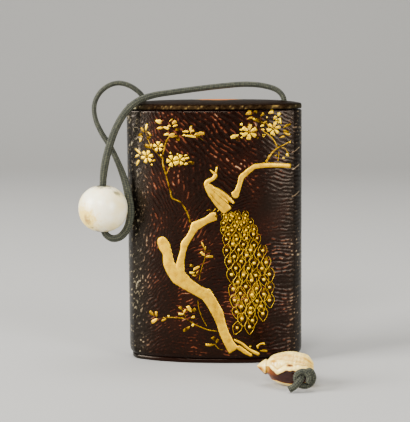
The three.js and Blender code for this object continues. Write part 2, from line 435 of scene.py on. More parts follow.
# ---------------------------------------------------------------- finishes


@dataclass(frozen=True)
class RippledLacquer:
    """Urushi lacquer, built up over a combed ground and polished: wet-looking, near-black brown.

    The "shade" attribute runs from black hollows over red-brown crests to pale tops. The crests'
    lighter colour is partly the red-brown of the streaks and partly a painted highlight, and the pale
    tops of crests and nicks are painted glints. Towards the sides a grey palette takes over: painted
    sheen that stands in for the side lamps' reflection on the curved sides.
    """

    ground: str = "#080201"
    brown: str = "#1c0703"
    crest: str = "#62311c"
    worn: str = "#a58a64"
    # The grey colours below and the band where they take over are painted sheen: the side lamps' reflection
    # on the curved sides.
    painted_sheen_ground: str = "#080806"
    painted_sheen_brown: str = "#1a1812"
    painted_sheen_crest: str = "#625c47"
    painted_sheen_top: str = "#7c765f"
    painted_sheen_middle_mm: float = 2.0  # the painted sheen reaches further in on the left than on the right
    painted_sheen_from_mm: float = 22.0
    painted_sheen_to_mm: float = 28.0
    painted_sheen_share: float = 0.85
    sheen: str = "#ffe6cc"
    gloss: float = 0.22
    roughness: float = 0.22
    dust_dulls: tuple[float, float] = (-0.06, 0.1)
    wear_dulls: float = 0.5
    ior: float = 1.4
    grit_mm: float = 0.5  # the dust under the polish is finer, and is drawn as coarse as it shows
    grit_share: float = 0.3
    grit_relief_mm: float = 0.06

    def material(self, name: str) -> bpy.types.Material:
        """Builds the finish.

        Args:
            name: The material's name.

        Returns:
            The new material.
        """
        material, tree, shader = new_material(name, {
            "IOR": self.ior, "Specular IOR Level": self.gloss, "Specular Tint": linear(self.sheen),
        })
        shade = add_node(tree, "ShaderNodeAttribute", attribute_name="shade")
        place = add_node(tree, "ShaderNodeTexCoord")
        dust = add_node(
            tree, "ShaderNodeTexNoise",
            {"Vector": place.outputs["Object"], "Scale": 1 / (self.grit_mm * MM), "Detail": 2.0},
        )
        speckled = add_node(
            tree, "ShaderNodeMath",
            {0: dust.outputs["Fac"], 1: self.grit_share, 2: shade.outputs["Fac"]},
            operation="MULTIPLY_ADD",
        )
        colour = colour_ramp(
            tree, speckled.outputs[0],
            {0.18: self.ground, 0.5: self.brown, 0.86: self.crest, 1.0: self.worn},
        )
        # A grey copy of the palette, mixed in towards the sides as painted sheen.
        painted_sheen_colour = colour_ramp(
            tree, speckled.outputs[0],
            {0.18: self.painted_sheen_ground, 0.45: self.painted_sheen_brown, 0.8: self.painted_sheen_crest, 1.0: self.painted_sheen_top},
        )
        across = add_node(tree, "ShaderNodeSeparateXYZ", {0: place.outputs["Object"]})
        shifted = add_node(
            tree, "ShaderNodeMath", {0: across.outputs["X"], 1: self.painted_sheen_middle_mm * MM},
            operation="SUBTRACT",
        )
        aside = add_node(tree, "ShaderNodeMath", {0: shifted.outputs[0]}, operation="ABSOLUTE")
        # How far the painted sheen covers the colour, rising towards both sides.
        painted_sheen_mask = add_node(
            tree, "ShaderNodeMapRange",
            {
                "Value": aside.outputs[0], "From Min": self.painted_sheen_from_mm * MM,
                "From Max": self.painted_sheen_to_mm * MM, "To Max": self.painted_sheen_share,
            },
        )
        colour = add_node(
            tree, "ShaderNodeMix", {0: painted_sheen_mask.outputs[0], 6: colour, 7: painted_sheen_colour}, data_type="RGBA",
        ).outputs[2]
        tree.links.new(colour, shader.inputs["Base Color"])
        clear, dusty = self.dust_dulls
        polish = add_node(
            tree, "ShaderNodeMapRange",
            {
                "Value": dust.outputs["Fac"], "To Min": self.roughness + clear,
                "To Max": self.roughness + dusty,
            },
        )
        dulled = add_node(
            tree, "ShaderNodeMapRange",
            {
                "Value": shade.outputs["Fac"], "From Min": 0.6, "From Max": 0.9, "To Min": 0.0,
                "To Max": self.wear_dulls,
            },
        )
        dull = add_node(
            tree, "ShaderNodeMath", {0: polish.outputs[0], 1: dulled.outputs[0]}, operation="ADD",
        )
        tree.links.new(dull.outputs[0], shader.inputs["Roughness"])
        bump = add_node(
            tree, "ShaderNodeBump",
            {"Height": dust.outputs["Fac"], "Strength": 0.25, "Distance": self.grit_relief_mm * MM},
        )
        tree.links.new(bump.outputs[0], shader.inputs["Normal"])
        return material


@dataclass(frozen=True)
class SprinkledGold:
    """Gold powder sprinkled into wet lacquer and burnished: a metal with a soft, sandy shine.

    The "shade" attribute runs from brown, thinly sprinkled gold to pale, thick gold.
    """

    thin: str = "#2c1a04"
    full: str = "#d6a200"
    pale: str = "#f2c800"
    grain_mm: float = 0.28  # real powder is 0.05 mm: drawn coarser so that it shows
    grain_share: float = 0.35
    grain_relief_mm: float = 0.06
    patch_mm: float = 2.0
    patch_share: float = 1.1
    middle: float = 0.72  # what grain and patches add on average

    def material(self, name: str) -> bpy.types.Material:
        """Builds the finish.

        Args:
            name: The material's name.

        Returns:
            The new material.
        """
        material, tree, shader = new_material(name, {
            "Metallic": 0.8, "Roughness": 0.46, "Specular IOR Level": 0.1,
            "Specular Tint": linear(self.pale),
        })
        tone = add_node(tree, "ShaderNodeAttribute", attribute_name="shade")
        place = add_node(tree, "ShaderNodeTexCoord")
        grain = add_node(
            tree, "ShaderNodeTexNoise",
            {"Vector": place.outputs["Object"], "Scale": 1 / (self.grain_mm * MM), "Detail": 3.0},
        )
        patch = add_node(
            tree, "ShaderNodeTexNoise",
            {"Vector": place.outputs["Object"], "Scale": 1 / (self.patch_mm * MM), "Detail": 3.0},
        )
        thickness = tone.outputs["Fac"]
        for unevenness, share in ((grain, self.grain_share), (patch, self.patch_share)):
            thickness = add_node(
                tree, "ShaderNodeMath", {0: unevenness.outputs["Fac"], 1: share, 2: thickness},
                operation="MULTIPLY_ADD",
            ).outputs[0]
        centred = add_node(tree, "ShaderNodeMath", {0: thickness, 1: self.middle}, operation="SUBTRACT")
        colour = colour_ramp(tree, centred.outputs[0], {0.0: self.thin, 0.6: self.full, 1.0: self.pale})
        tree.links.new(colour, shader.inputs["Base Color"])
        bump = add_node(
            tree, "ShaderNodeBump",
            {"Height": grain.outputs["Fac"], "Strength": 0.35, "Distance": self.grain_relief_mm * MM},
        )
        tree.links.new(bump.outputs[0], shader.inputs["Normal"])
        return material


@dataclass(frozen=True)
class WaxedBraid:
    """Round braided silk cord, dyed grey-green and stiff with wax: dull, with a random wear tone. The
    weave adds a painted highlight on the crowns and painted shade in the hollows.

    The UV map runs along the cord in millimetres and once around it.
    """

    dark_tone_and_hollow_shade: str = "#090a06"
    dye: str = "#202218"
    pale_tone_and_crown_highlight: str = "#58573f"
    stitch_mm: float = 0.6
    strands: int = 8
    weave_share: float = 0.2
    weave_relief_mm: float = 0.08
    wear_mm: float = 0.7

    def material(self, name: str) -> bpy.types.Material:
        """Builds the finish.

        Args:
            name: The material's name.

        Returns:
            The new material.
        """
        material, tree, shader = new_material(
            name, {"Roughness": 0.72, "Specular IOR Level": 0.25, "Sheen Weight": 0.06},
        )
        uv = add_node(tree, "ShaderNodeUVMap", uv_map="UVMap")
        parts = add_node(tree, "ShaderNodeSeparateXYZ", {0: uv.outputs[0]})
        crossing = []
        for side in (1, -1):
            around = add_node(
                tree, "ShaderNodeMath", {0: parts.outputs["Y"], 1: side * self.strands / 2 * TURN},
                operation="MULTIPLY",
            )
            along = add_node(
                tree, "ShaderNodeMath",
                {0: parts.outputs["X"], 1: TURN / (2 * self.stitch_mm), 2: around.outputs[0]},
                operation="MULTIPLY_ADD",
            )
            wave = add_node(tree, "ShaderNodeMath", {0: along.outputs[0]}, operation="SINE")
            crossing.append(wave.outputs[0])
        weave = add_node(tree, "ShaderNodeMath", {0: crossing[0], 1: crossing[1]}, operation="MULTIPLY")
        place = add_node(tree, "ShaderNodeTexCoord")
        wear = add_node(
            tree, "ShaderNodeTexNoise",
            {"Vector": place.outputs["Object"], "Scale": 1 / (self.wear_mm * MM), "Detail": 4.0},
        )
        worn = add_node(
            tree, "ShaderNodeMapRange", {"Value": wear.outputs["Fac"], "To Min": 0.2, "To Max": 0.85},
        )
        height = add_node(
            tree, "ShaderNodeMath", {0: weave.outputs[0], 1: self.weave_share, 2: worn.outputs[0]},
            operation="MULTIPLY_ADD",
        )
        # The weave shifts the colour with its relief: a painted highlight on the crowns and painted shade
        # in the hollows, over the random wear tone.
        colour = colour_ramp(tree, height.outputs[0], {0.25: self.dark_tone_and_hollow_shade, 0.5: self.dye, 0.95: self.pale_tone_and_crown_highlight})
        tree.links.new(colour, shader.inputs["Base Color"])
        bump = add_node(
            tree, "ShaderNodeBump",
            {"Height": weave.outputs[0], "Strength": 0.6, "Distance": self.weave_relief_mm * MM},
        )
        tree.links.new(bump.outputs[0], shader.inputs["Normal"])
        return material


@dataclass(frozen=True)
class PolishedBone:
    """Turned and hand-polished ivory-white bone: waxy, with tea-brown stains and dark bore mouths.

    Places are in millimetres.
    """

    white: str = "#fff3cf"
    warm: str = "#f8e4a6"
    halo: str = "#e8c244"
    stain: str = "#8f6630"
    crack: str = "#57401f"
    mouth: str = "#3a3a26"
    halo_at: tuple[float, float, float] = (-42.2, -14.4, 50.2)
    stain_at: tuple[float, float, float] = (-41.4, -15.0, 50.2)
    crack_at: tuple[float, float, float] = (-40.5, -14.6, 46.4)
    chip_at: tuple[float, float, float] = (-31.7, -12.6, 58.9)
    mouths_at: tuple[tuple[float, float, float], ...] = ((-37.4, -9.4, 62.2), (-37.4, -9.4, 46.4))
    cloud_mm: float = 5.0
    speck_mm: float = 1.1

    def material(self, name: str) -> bpy.types.Material:
        """Builds the finish.

        Args:
            name: The material's name.

        Returns:
            The new material.
        """
        material, tree, shader = new_material(name, {
            "Roughness": 0.3, "IOR": 1.54, "Subsurface Weight": 0.15,
            "Subsurface Radius": (0.9, 0.6, 0.4), "Subsurface Scale": 1.0 * MM,
        })
        place = add_node(tree, "ShaderNodeTexCoord")
        cloud = add_node(
            tree, "ShaderNodeTexNoise",
            {"Vector": place.outputs["Object"], "Scale": 1 / (self.cloud_mm * MM), "Detail": 4.0},
        )
        speck = add_node(
            tree, "ShaderNodeTexNoise",
            {"Vector": place.outputs["Object"], "Scale": 1 / (self.speck_mm * MM), "Detail": 3.0},
        )
        colour = colour_ramp(tree, cloud.outputs["Fac"], {0.35: self.warm, 0.6: self.white})
        spots = [  # each mark's middle, its radius in millimetres, its colour and its strength
            (self.halo_at, 5.6, self.halo, 0.85), (self.stain_at, 2.0, self.stain, 0.8),
            (self.crack_at, 1.1, self.crack, 0.85), (self.chip_at, 1.6, self.mouth, 0.7),
            *[(spot, 4.4, self.mouth, 0.95) for spot in self.mouths_at],
        ]
        for centre, radius, tint, strength in spots:
            apart = add_node(
                tree, "ShaderNodeVectorMath",
                {0: place.outputs["Object"], 1: [value * MM for value in centre]}, operation="DISTANCE",
            )
            ragged = add_node(
                tree, "ShaderNodeMath",
                {0: speck.outputs["Fac"], 1: 1.4 * radius * MM, 2: apart.outputs["Value"]},
                operation="MULTIPLY_ADD",
            )
            mask = add_node(
                tree, "ShaderNodeMapRange",
                {
                    "Value": ragged.outputs[0], "From Min": 1.2 * radius * MM,
                    "From Max": 1.75 * radius * MM, "To Min": strength, "To Max": 0.0,
                },
            )
            mix = add_node(
                tree, "ShaderNodeMix", {0: mask.outputs[0], 6: colour, 7: linear(tint)}, data_type="RGBA",
            )
            colour = mix.outputs[2]
        tree.links.new(colour, shader.inputs["Base Color"])
        return material


@dataclass(frozen=True)
class GlossyShell:
    """A small sea snail's shell, polished by handling: cream ribs and a wet-looking amber mouth.

    The "shade" attribute is 0 on the ribbed back and 1 deep in the mouth.
    """

    cream: str = "#f6d87a"
    honey: str = "#b88418"
    amber: str = "#683000"
    deep: str = "#260800"
    band_mm: float = 1.6
    band_share: float = 0.25
    band_relief_mm: float = 0.1

    def material(self, name: str) -> bpy.types.Material:
        """Builds the finish.

        Args:
            name: The material's name.

        Returns:
            The new material.
        """
        material, tree, shader = new_material(name, {
            "Roughness": 0.22, "Specular IOR Level": 0.35, "Coat Weight": 0.1, "Coat Roughness": 0.08,
        })
        mouth = add_node(tree, "ShaderNodeAttribute", attribute_name="shade")
        place = add_node(tree, "ShaderNodeTexCoord")
        bands = add_node(
            tree, "ShaderNodeTexNoise",
            {"Vector": place.outputs["Object"], "Scale": 1 / (self.band_mm * MM), "Detail": 3.0},
        )
        varied = add_node(
            tree, "ShaderNodeMath",
            {0: bands.outputs["Fac"], 1: self.band_share, 2: mouth.outputs["Fac"]},
            operation="MULTIPLY_ADD",
        )
        colour = colour_ramp(
            tree, varied.outputs[0],
            {0.1: self.cream, 0.3: self.honey, 0.55: self.amber, 0.9: self.deep},
        )
        tree.links.new(colour, shader.inputs["Base Color"])
        bump = add_node(
            tree, "ShaderNodeBump",
            {"Height": bands.outputs["Fac"], "Strength": 0.2, "Distance": self.band_relief_mm * MM},
        )
        tree.links.new(bump.outputs[0], shader.inputs["Normal"])
        return material


# ---------------------------------------------------------------- the case


@dataclass(frozen=True)
class CaseForm:
    """The case's outline from above: bowed faces, rounded sides and an upright ridge between them."""

    half_width: float
    half_depth: float
    ridge_x: float = 27.6
    ridge_y: float = 6.0
    face_curve: float = 2.6
    probe: float = 0.05  # how far to each side the face's slope is measured

    def face_y(self, x: float) -> float:
        """Distance of the front or back face from the middle plane."""
        rise = 1 - min(1.0, abs(x) / self.ridge_x) ** self.face_curve
        return self.ridge_y + (self.half_depth - self.ridge_y) * rise

    def side_x(self, y: float) -> float:
        """Distance of the rounded side from the middle."""
        return self.ridge_x + (self.half_width - self.ridge_x) * (1 - (y / self.ridge_y) ** 2)

    def on_front(self, x: float, z: float, lift: float) -> Vector:
        """Finds a place over the front face.

        Args:
            x: Its place across the case.
            z: Its height.
            lift: How far it stands off the face, along the outward normal.

        Returns:
            The place in millimetres.
        """
        slope = (self.face_y(x + self.probe) - self.face_y(x - self.probe)) / (2 * self.probe)
        outward = Vector((-slope, -1, 0)).normalized()
        return Vector((x, -self.face_y(x), z)) + outward * lift

    def outline(self, front_steps: int, side_steps: int, back_steps: int) -> list[Vector]:
        """Samples the outline, anticlockwise from above, from the front's middle.

        Args:
            front_steps: Steps over half of the front.
            side_steps: Steps over a quarter of the sides.
            back_steps: Steps over half of the back.

        Returns:
            Points in the plane Z = 0.
        """
        right = []
        for i in range(front_steps):
            x = self.ridge_x * i / front_steps
            right.append(Vector((x, -self.face_y(x), 0)))
        for i in range(2 * side_steps):
            y = self.ridge_y * (i / side_steps - 1)
            right.append(Vector((self.side_x(y), y, 0)))
        for i in range(back_steps + 1):
            x = self.ridge_x * (1 - i / back_steps)
            right.append(Vector((x, self.face_y(x), 0)))
        left = [Vector((-point.x, point.y, 0)) for point in right[-2:0:-1]]
        return right + left

    def inset(self, point: Vector, distance: float, height: float) -> Vector:
        """Moves an outline point inwards: evenly near the edge, to the middle at full depth.

        Args:
            point: A point of the outline.
            distance: How far it moves in, or out where that is negative.
            height: The height that it gets.

        Returns:
            The moved point.
        """
        closing = (1 - self.half_depth / self.half_width) * (max(0.0, distance) / self.half_depth) ** 3
        along_x = 1 - distance / self.half_width - closing
        along_y = 1 - distance / self.half_depth
        return Vector((point.x * along_x, point.y * along_y, height))


@dataclass(frozen=True)
class Ripples:
    """The combed strokes under the lacquer, as a field over the whole case.

    Each patch was combed in its own direction. Its numbers are its middle's place [x, z] in
    millimetres, its strokes' angle in degrees from level, and their pitch in millimetres.
    """

    height: float = 0.06
    reach: float = 9.0
    calm_at: tuple[float, float] = (19, 52)
    calm_reach: float = 7
    # The nicks' heights; the nicks are drawn only as painted glints.
    nicks: tuple[float, float, float] = (57.2, 66.4, 72.2)
    left_edge: tuple[float, float] = (19.5, 25.5)  # over this band the strokes give way to veins, and the crests get paler as painted sheen
    right_edge: tuple[float, float] = (26.2, 27.4)
    vein: float = 1.15
    vein_stretch: float = 1.9
    patches: tuple[tuple[float, float, float, float], ...] = (
        (-21, 10, 30, 1.15), (-8, 5, -6, 1.1), (8, 6, -4, 1.2), (21, 8, 5, 1.3), (-22, 26, 48, 1.1),
        (-8, 20, 16, 1.15), (20, 22, 2, 1.35), (8, 24, 8, 1.2), (-23, 42, 72, 1.1), (-6, 36, 24, 1.25),
        (10, 38, 6, 1.2), (21, 36, -3, 1.35), (-17, 56, 112, 1.25), (-5, 50, 60, 1.2), (-6, 63, 90, 1.8),
        (9, 52, 12, 1.2), (22, 52, 0, 1.3), (-20, 72, 122, 1.2), (-9, 78, 135, 1.6), (4, 76, 138, 1.8),
        (9, 64, 142, 1.4), (21, 66, 170, 1.3), (17, 78, 140, 1.5), (-22, 85, 120, 1.2), (25, 83, 160, 1.3),
    )

    def calm(self, point: Vector) -> float:
        """Finds how far the strokes are worn or filled.

        Args:
            point: A place on the case.

        Returns:
            A share from 0 to 1.
        """
        x, z = self.calm_at
        apart = ((point.x - x) / self.calm_reach) ** 2 + ((point.z - z) / self.calm_reach) ** 2
        return math.exp(-apart * apart) if point.y < 0 else 0.0

    def wave(self, point: Vector) -> float:
        """Blends the strokes of the patches round a point.

        Args:
            point: A place on the case.

        Returns:
            The strokes' profile there, from -1 to 1.
        """
        warp = 1.1 * noise.noise(point / 5) + 0.42 * noise.noise(point / 1.6)
        total = weights = 0.0
        for x, z, angle, pitch in self.patches:
            apart = ((point.x - x) ** 2 + (point.z - z) ** 2) / self.reach ** 2
            if apart < 3:
                turn = math.radians(angle)
                across = point.z * math.cos(turn) - point.x * math.sin(turn) + warp
                weight = math.exp(-3 * apart)
                total += weight * math.sin(TURN * across / pitch)
                weights += weight
        return total / max(weights, 1e-6)

    def nick_glint(self, point: Vector) -> float:
        """Finds painted glints along three slanting nicks on the right-hand ridge; the nicks have no
        relief.

        Args:
            point: A place on the case.

        Returns:
            How strongly a glint is painted there, from 0 to 1.
        """
        if point.x < 26.5 or not -6.6 < point.y < -3.2:
            return 0.0
        away = min(abs(point.z - height - 0.5 * (point.y + 6)) for height in self.nicks)
        return 0.75 * (1 - smooth(0.06, 0.3, away))

    def sample(self, point: Vector) -> tuple[float, float]:
        """Finds the surface at a point, with leathery veins towards the left side.

        Args:
            point: A place on the case.

        Returns:
            The strokes' height in millimetres and the "shade" of the lacquer over them, which carries
            a painted highlight on the crests, painted sheen towards the sides and painted glints along
            the nicks.
        """
        pebbled = smooth(*self.left_edge, -point.x) + 0.5 * smooth(*self.right_edge, point.x)
        streaked = Vector((point.x, point.y, point.z / self.vein_stretch)) / self.vein
        pebble = max(-1.0, 1 - 5 * abs(noise.noise(streaked)))
        wave = self.wave(point) * (1 - 0.75 * pebbled) + 0.9 * pebble * pebbled
        broken = smooth(-0.2, 0.28, noise.noise(point / 1.05 + Vector((9, 4, 1))))
        rough = 1 - 0.85 * self.calm(point)
        cloud = smooth(-0.25, 0.5, noise.noise(point / 8 + Vector((3, 8, 5))))
        front = 1.0 if point.y < 0 else 0.5
        reddish = front * smooth(60, 80, point.z) * math.exp(-((point.x - 4) / 13) ** 2)
        ember = front * math.exp(-((point.x - 21) / 6) ** 2 - ((point.z - 37) / 8) ** 2)
        # Crests are coloured paler than the hollows: partly the red-brown of the streaks, partly a painted
        # highlight. The pebbled share of paler is painted sheen towards the sides.
        crest = smooth(0.05, 0.9, wave) * broken * rough
        paler = 0.26 * cloud + 0.24 * reddish + 0.4 * ember + 0.28 * pebbled
        shade = 0.08 + 0.16 * cloud * (1 - 0.6 * pebbled) + crest * (0.3 + paler)
        return self.height * rough * (0.35 + 0.65 * broken) * wave, min(1.0, shade + self.nick_glint(point))


@dataclass(frozen=True)
class RingForm:
    """A form over the case's outline, all round or along an arc of it, from [inset, height] pairs."""

    form: CaseForm
    outline: Sequence[Vector]
    profile: Sequence[tuple[float, float]]
    whole: bool = True
    plain_shade: float = 0.12

    def mesh(
        self, ripples: Ripples | None = None, rippled: range = range(0), tone: Tint | None = None,
    ) -> bmesh.types.BMesh:
        """Builds the form.

        Args:
            ripples: The strokes to lay over it, if it has any.
            rippled: The profile's rows that carry them.
            tone: Gives the "shade" of the places that carry none.

        Returns:
            A closed bmesh in metres.
        """
        columns, rows = len(self.outline) - (not self.whole), len(self.profile) - 1
        found: dict[tuple[int, int], tuple[Vector, float]] = {}

        def corner(u: float, v: float) -> tuple[Vector, float]:
            """Finds a corner of the form, once for each corner.

            Args:
                u: Share along the outline.
                v: Share along the profile.

            Returns:
                Its place in millimetres and its "shade".
            """
            column, row = round(u * columns), round(v * rows)
            if self.whole:
                column %= columns
            if (column, row) not in found:
                inset, height = self.profile[row]
                last = len(self.outline) - 1
                before = self.outline[column - 1 if self.whole else max(0, column - 1)]
                after = self.outline[(column + 1) % columns if self.whole else min(last, column + 1)]
                along = (after - before).normalized()
                point = self.form.inset(self.outline[column], inset, height)
                shade = tone(point) if tone else self.plain_shade
                if ripples and row in rippled:
                    rise, shade = ripples.sample(point)
                    point = point + Vector((along.y, -along.x, 0)) * rise
                found[column, row] = (point, shade)
            return found[column, row]

        return closed_grid(columns, rows, lambda u, v: corner(u, v)[0], lambda u, v: corner(u, v)[1])


@dataclass(frozen=True)
class LacquerCase:
    """The case's lacquer skin, its foot band and the lid's skin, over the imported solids."""

    form: CaseForm
    seam: float
    crest: float
    finish: RippledLacquer = field(default_factory=RippledLacquer)
    skin: float = 0.1  # how far the skin stands off the solid, so that the waves' hollows clear it
    sleeve_bottom: float = 2.7
    channel_x: float = 24.0
    channel_radius: float = 1.3
    notch: tuple[float, float] = (2.6, 2.3)
    notch_play: float = 1.3  # how far the notch's cutter runs past the middle
    rim: float = 88.5
    seam_gap: float = 0.3
    row_step: float = 0.26
    face_steps: int = 112
    side_steps: int = 12
    band_steps: tuple[int, int, int] = (40, 9, 40)
    lid_steps: tuple[int, int, int] = (60, 9, 60)
    dome_steps: int = 14

    def sleeve(self, material: bpy.types.Material) -> None:
        """Makes the rippled skin from above the foot to the seam, in a front and a back half.

        Args:
            material: Its finish.
        """
        top, bottom = self.seam, self.sleeve_bottom
        rows = round((top - self.seam_gap - bottom) / self.row_step)
        profile = [(0.6, bottom)]
        for i in range(rows + 1):
            height = bottom + (top - self.seam_gap - bottom) * i / rows
            rounding = 0.32 * (1 - smooth(bottom - 0.8, bottom + 1.6, height))
            profile.append((rounding - self.skin, height))
        profile += [(0.12, top - 0.05), (0.6, top - 0.02), (0.6, bottom)]
        around = self.form.outline(self.face_steps, self.side_steps, self.face_steps)
        quarter = self.face_steps + self.side_steps
        arcs = {"front": around[-quarter:] + around[:quarter + 1], "back": around[quarter:-quarter + 1]}
        for name, arc in arcs.items():
            mesh = RingForm(self.form, arc, profile, whole=False).mesh(Ripples(), range(2, rows + 1))
            object_of("lacquer_" + name, mesh, material)

    def foot(self, material: bpy.types.Material) -> bpy.types.Object:
        """Makes the foot band and the groove over it, with the notch that the tail runs through.

        Args:
            material: Its finish.

        Returns:
            The band.
        """
        profile = [
            (2.4, 0.02), (1.25, 0.02), (1.0, 0.1), (0.87, 0.32), (0.85, 1.25), (0.95, 1.38), (1.3, 1.5),
            (1.32, 1.68), (0.75, 1.88), (0.45, 2.25), (0.22, 2.72), (0.4, 2.9), (2.4, 2.9), (2.4, 0.02),
        ]
        mesh = RingForm(self.form, self.form.outline(*self.band_steps), profile).mesh()
        piece = object_of("foot_band", mesh, material)
        width, height = self.notch
        depth, play = self.form.half_depth, self.notch_play
        cutter = bmesh.new()
        bmesh.ops.create_cube(cutter, size=MM)
        bmesh.ops.scale(cutter, vec=(width, depth + play, 2 * height), verts=cutter.verts)
        middle = Vector((self.channel_x, (play - depth) / 2, 0)) * MM
        bmesh.ops.translate(cutter, vec=middle, verts=cutter.verts)
        drilled(piece, [cutter])
        return piece

    def lid(self, material: bpy.types.Material) -> bpy.types.Object:
        """Makes the lid's edge and low dome, with the two cord holes.

        Args:
            material: Its finish.

        Returns:
            The lid's skin.
        """
        bottom = self.seam + self.seam_gap
        middle = self.form.half_depth
        profile = [(middle, self.rim - 0.5), (0.9, self.rim - 0.5), (0.6, bottom + 0.04), (0.25, bottom)]
        profile += [(-self.skin + 0.06, bottom + 0.1), (-self.skin, bottom + 0.35)]
        profile += [(-self.skin, self.rim - 0.75), (0.0, self.rim - 0.42), (0.25, self.rim - 0.15)]
        profile += [(0.6, self.rim - 0.02)]
        for i in range(self.dome_steps + 1):
            inset = 1.0 + (middle - 1.0) * i / self.dome_steps
            height = self.rim + (self.crest - self.rim) * (1 - ((middle - inset) / (middle - 1.0)) ** 2)
            profile.append((inset, height + 0.05))
        ring = RingForm(self.form, self.form.outline(*self.lid_steps), profile)

        def worn(point: Vector) -> float:
            """Finds the orange-brown patch on the lid's top.

            Args:
                point: A place on the lid.

            Returns:
                The "shade" there.
            """
            apart = ((point.x - 1.5) / 8.5) ** 2 + (point.y / 4.4) ** 2
            patchy = 0.3 * noise.noise(point / 2.5)
            return 0.06 + 0.84 * (1 - smooth(0.5, 1.3, apart + patchy)) * (point.z > self.crest - 0.5)

        mesh = ring.mesh(Ripples(height=0.03), range(5, 7), worn)
        piece = object_of("lid_skin", mesh, material)
        low, high = self.rim - 4, self.crest + 2
        drilled(piece, [
            rod((side * self.channel_x, 0, low), (side * self.channel_x, 0, high), self.channel_radius)
            for side in (1, -1)
        ])
        return piece

    def build(self) -> None:
        """Makes and dresses the case."""
        material = self.finish.material("rippled_urushi")
        self.sleeve(material)
        self.foot(material)
        # The lid's finish: olive browns, an orange-brown patch on its top, and grey colours towards its
        # sides that are painted sheen.
        dulled = RippledLacquer(
            brown="#3a2b18", crest="#75602f", worn="#d06a18", painted_sheen_brown="#34301f", painted_sheen_crest="#8a8468",
            sheen="#80522e", gloss=0.03, roughness=0.36,
        )
        self.lid(dulled.material("lid_urushi"))
        plain = RippledLacquer(roughness=0.35).material("plain_urushi")
        for node in ("case_body", "lid"):
            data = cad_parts[node].data
            data.materials.clear()
            data.materials.append(plain)
            log.info("dressed %s", node)


# ---------------------------------------------------------------- the gold picture


class Tone(Enum):
    """How thickly the gold is sprinkled."""

    BARE = -0.12
    THIN = 0.04
    DIM = 0.15
    SOFT = 0.33
    FULL = 0.62
    PALE = 0.88


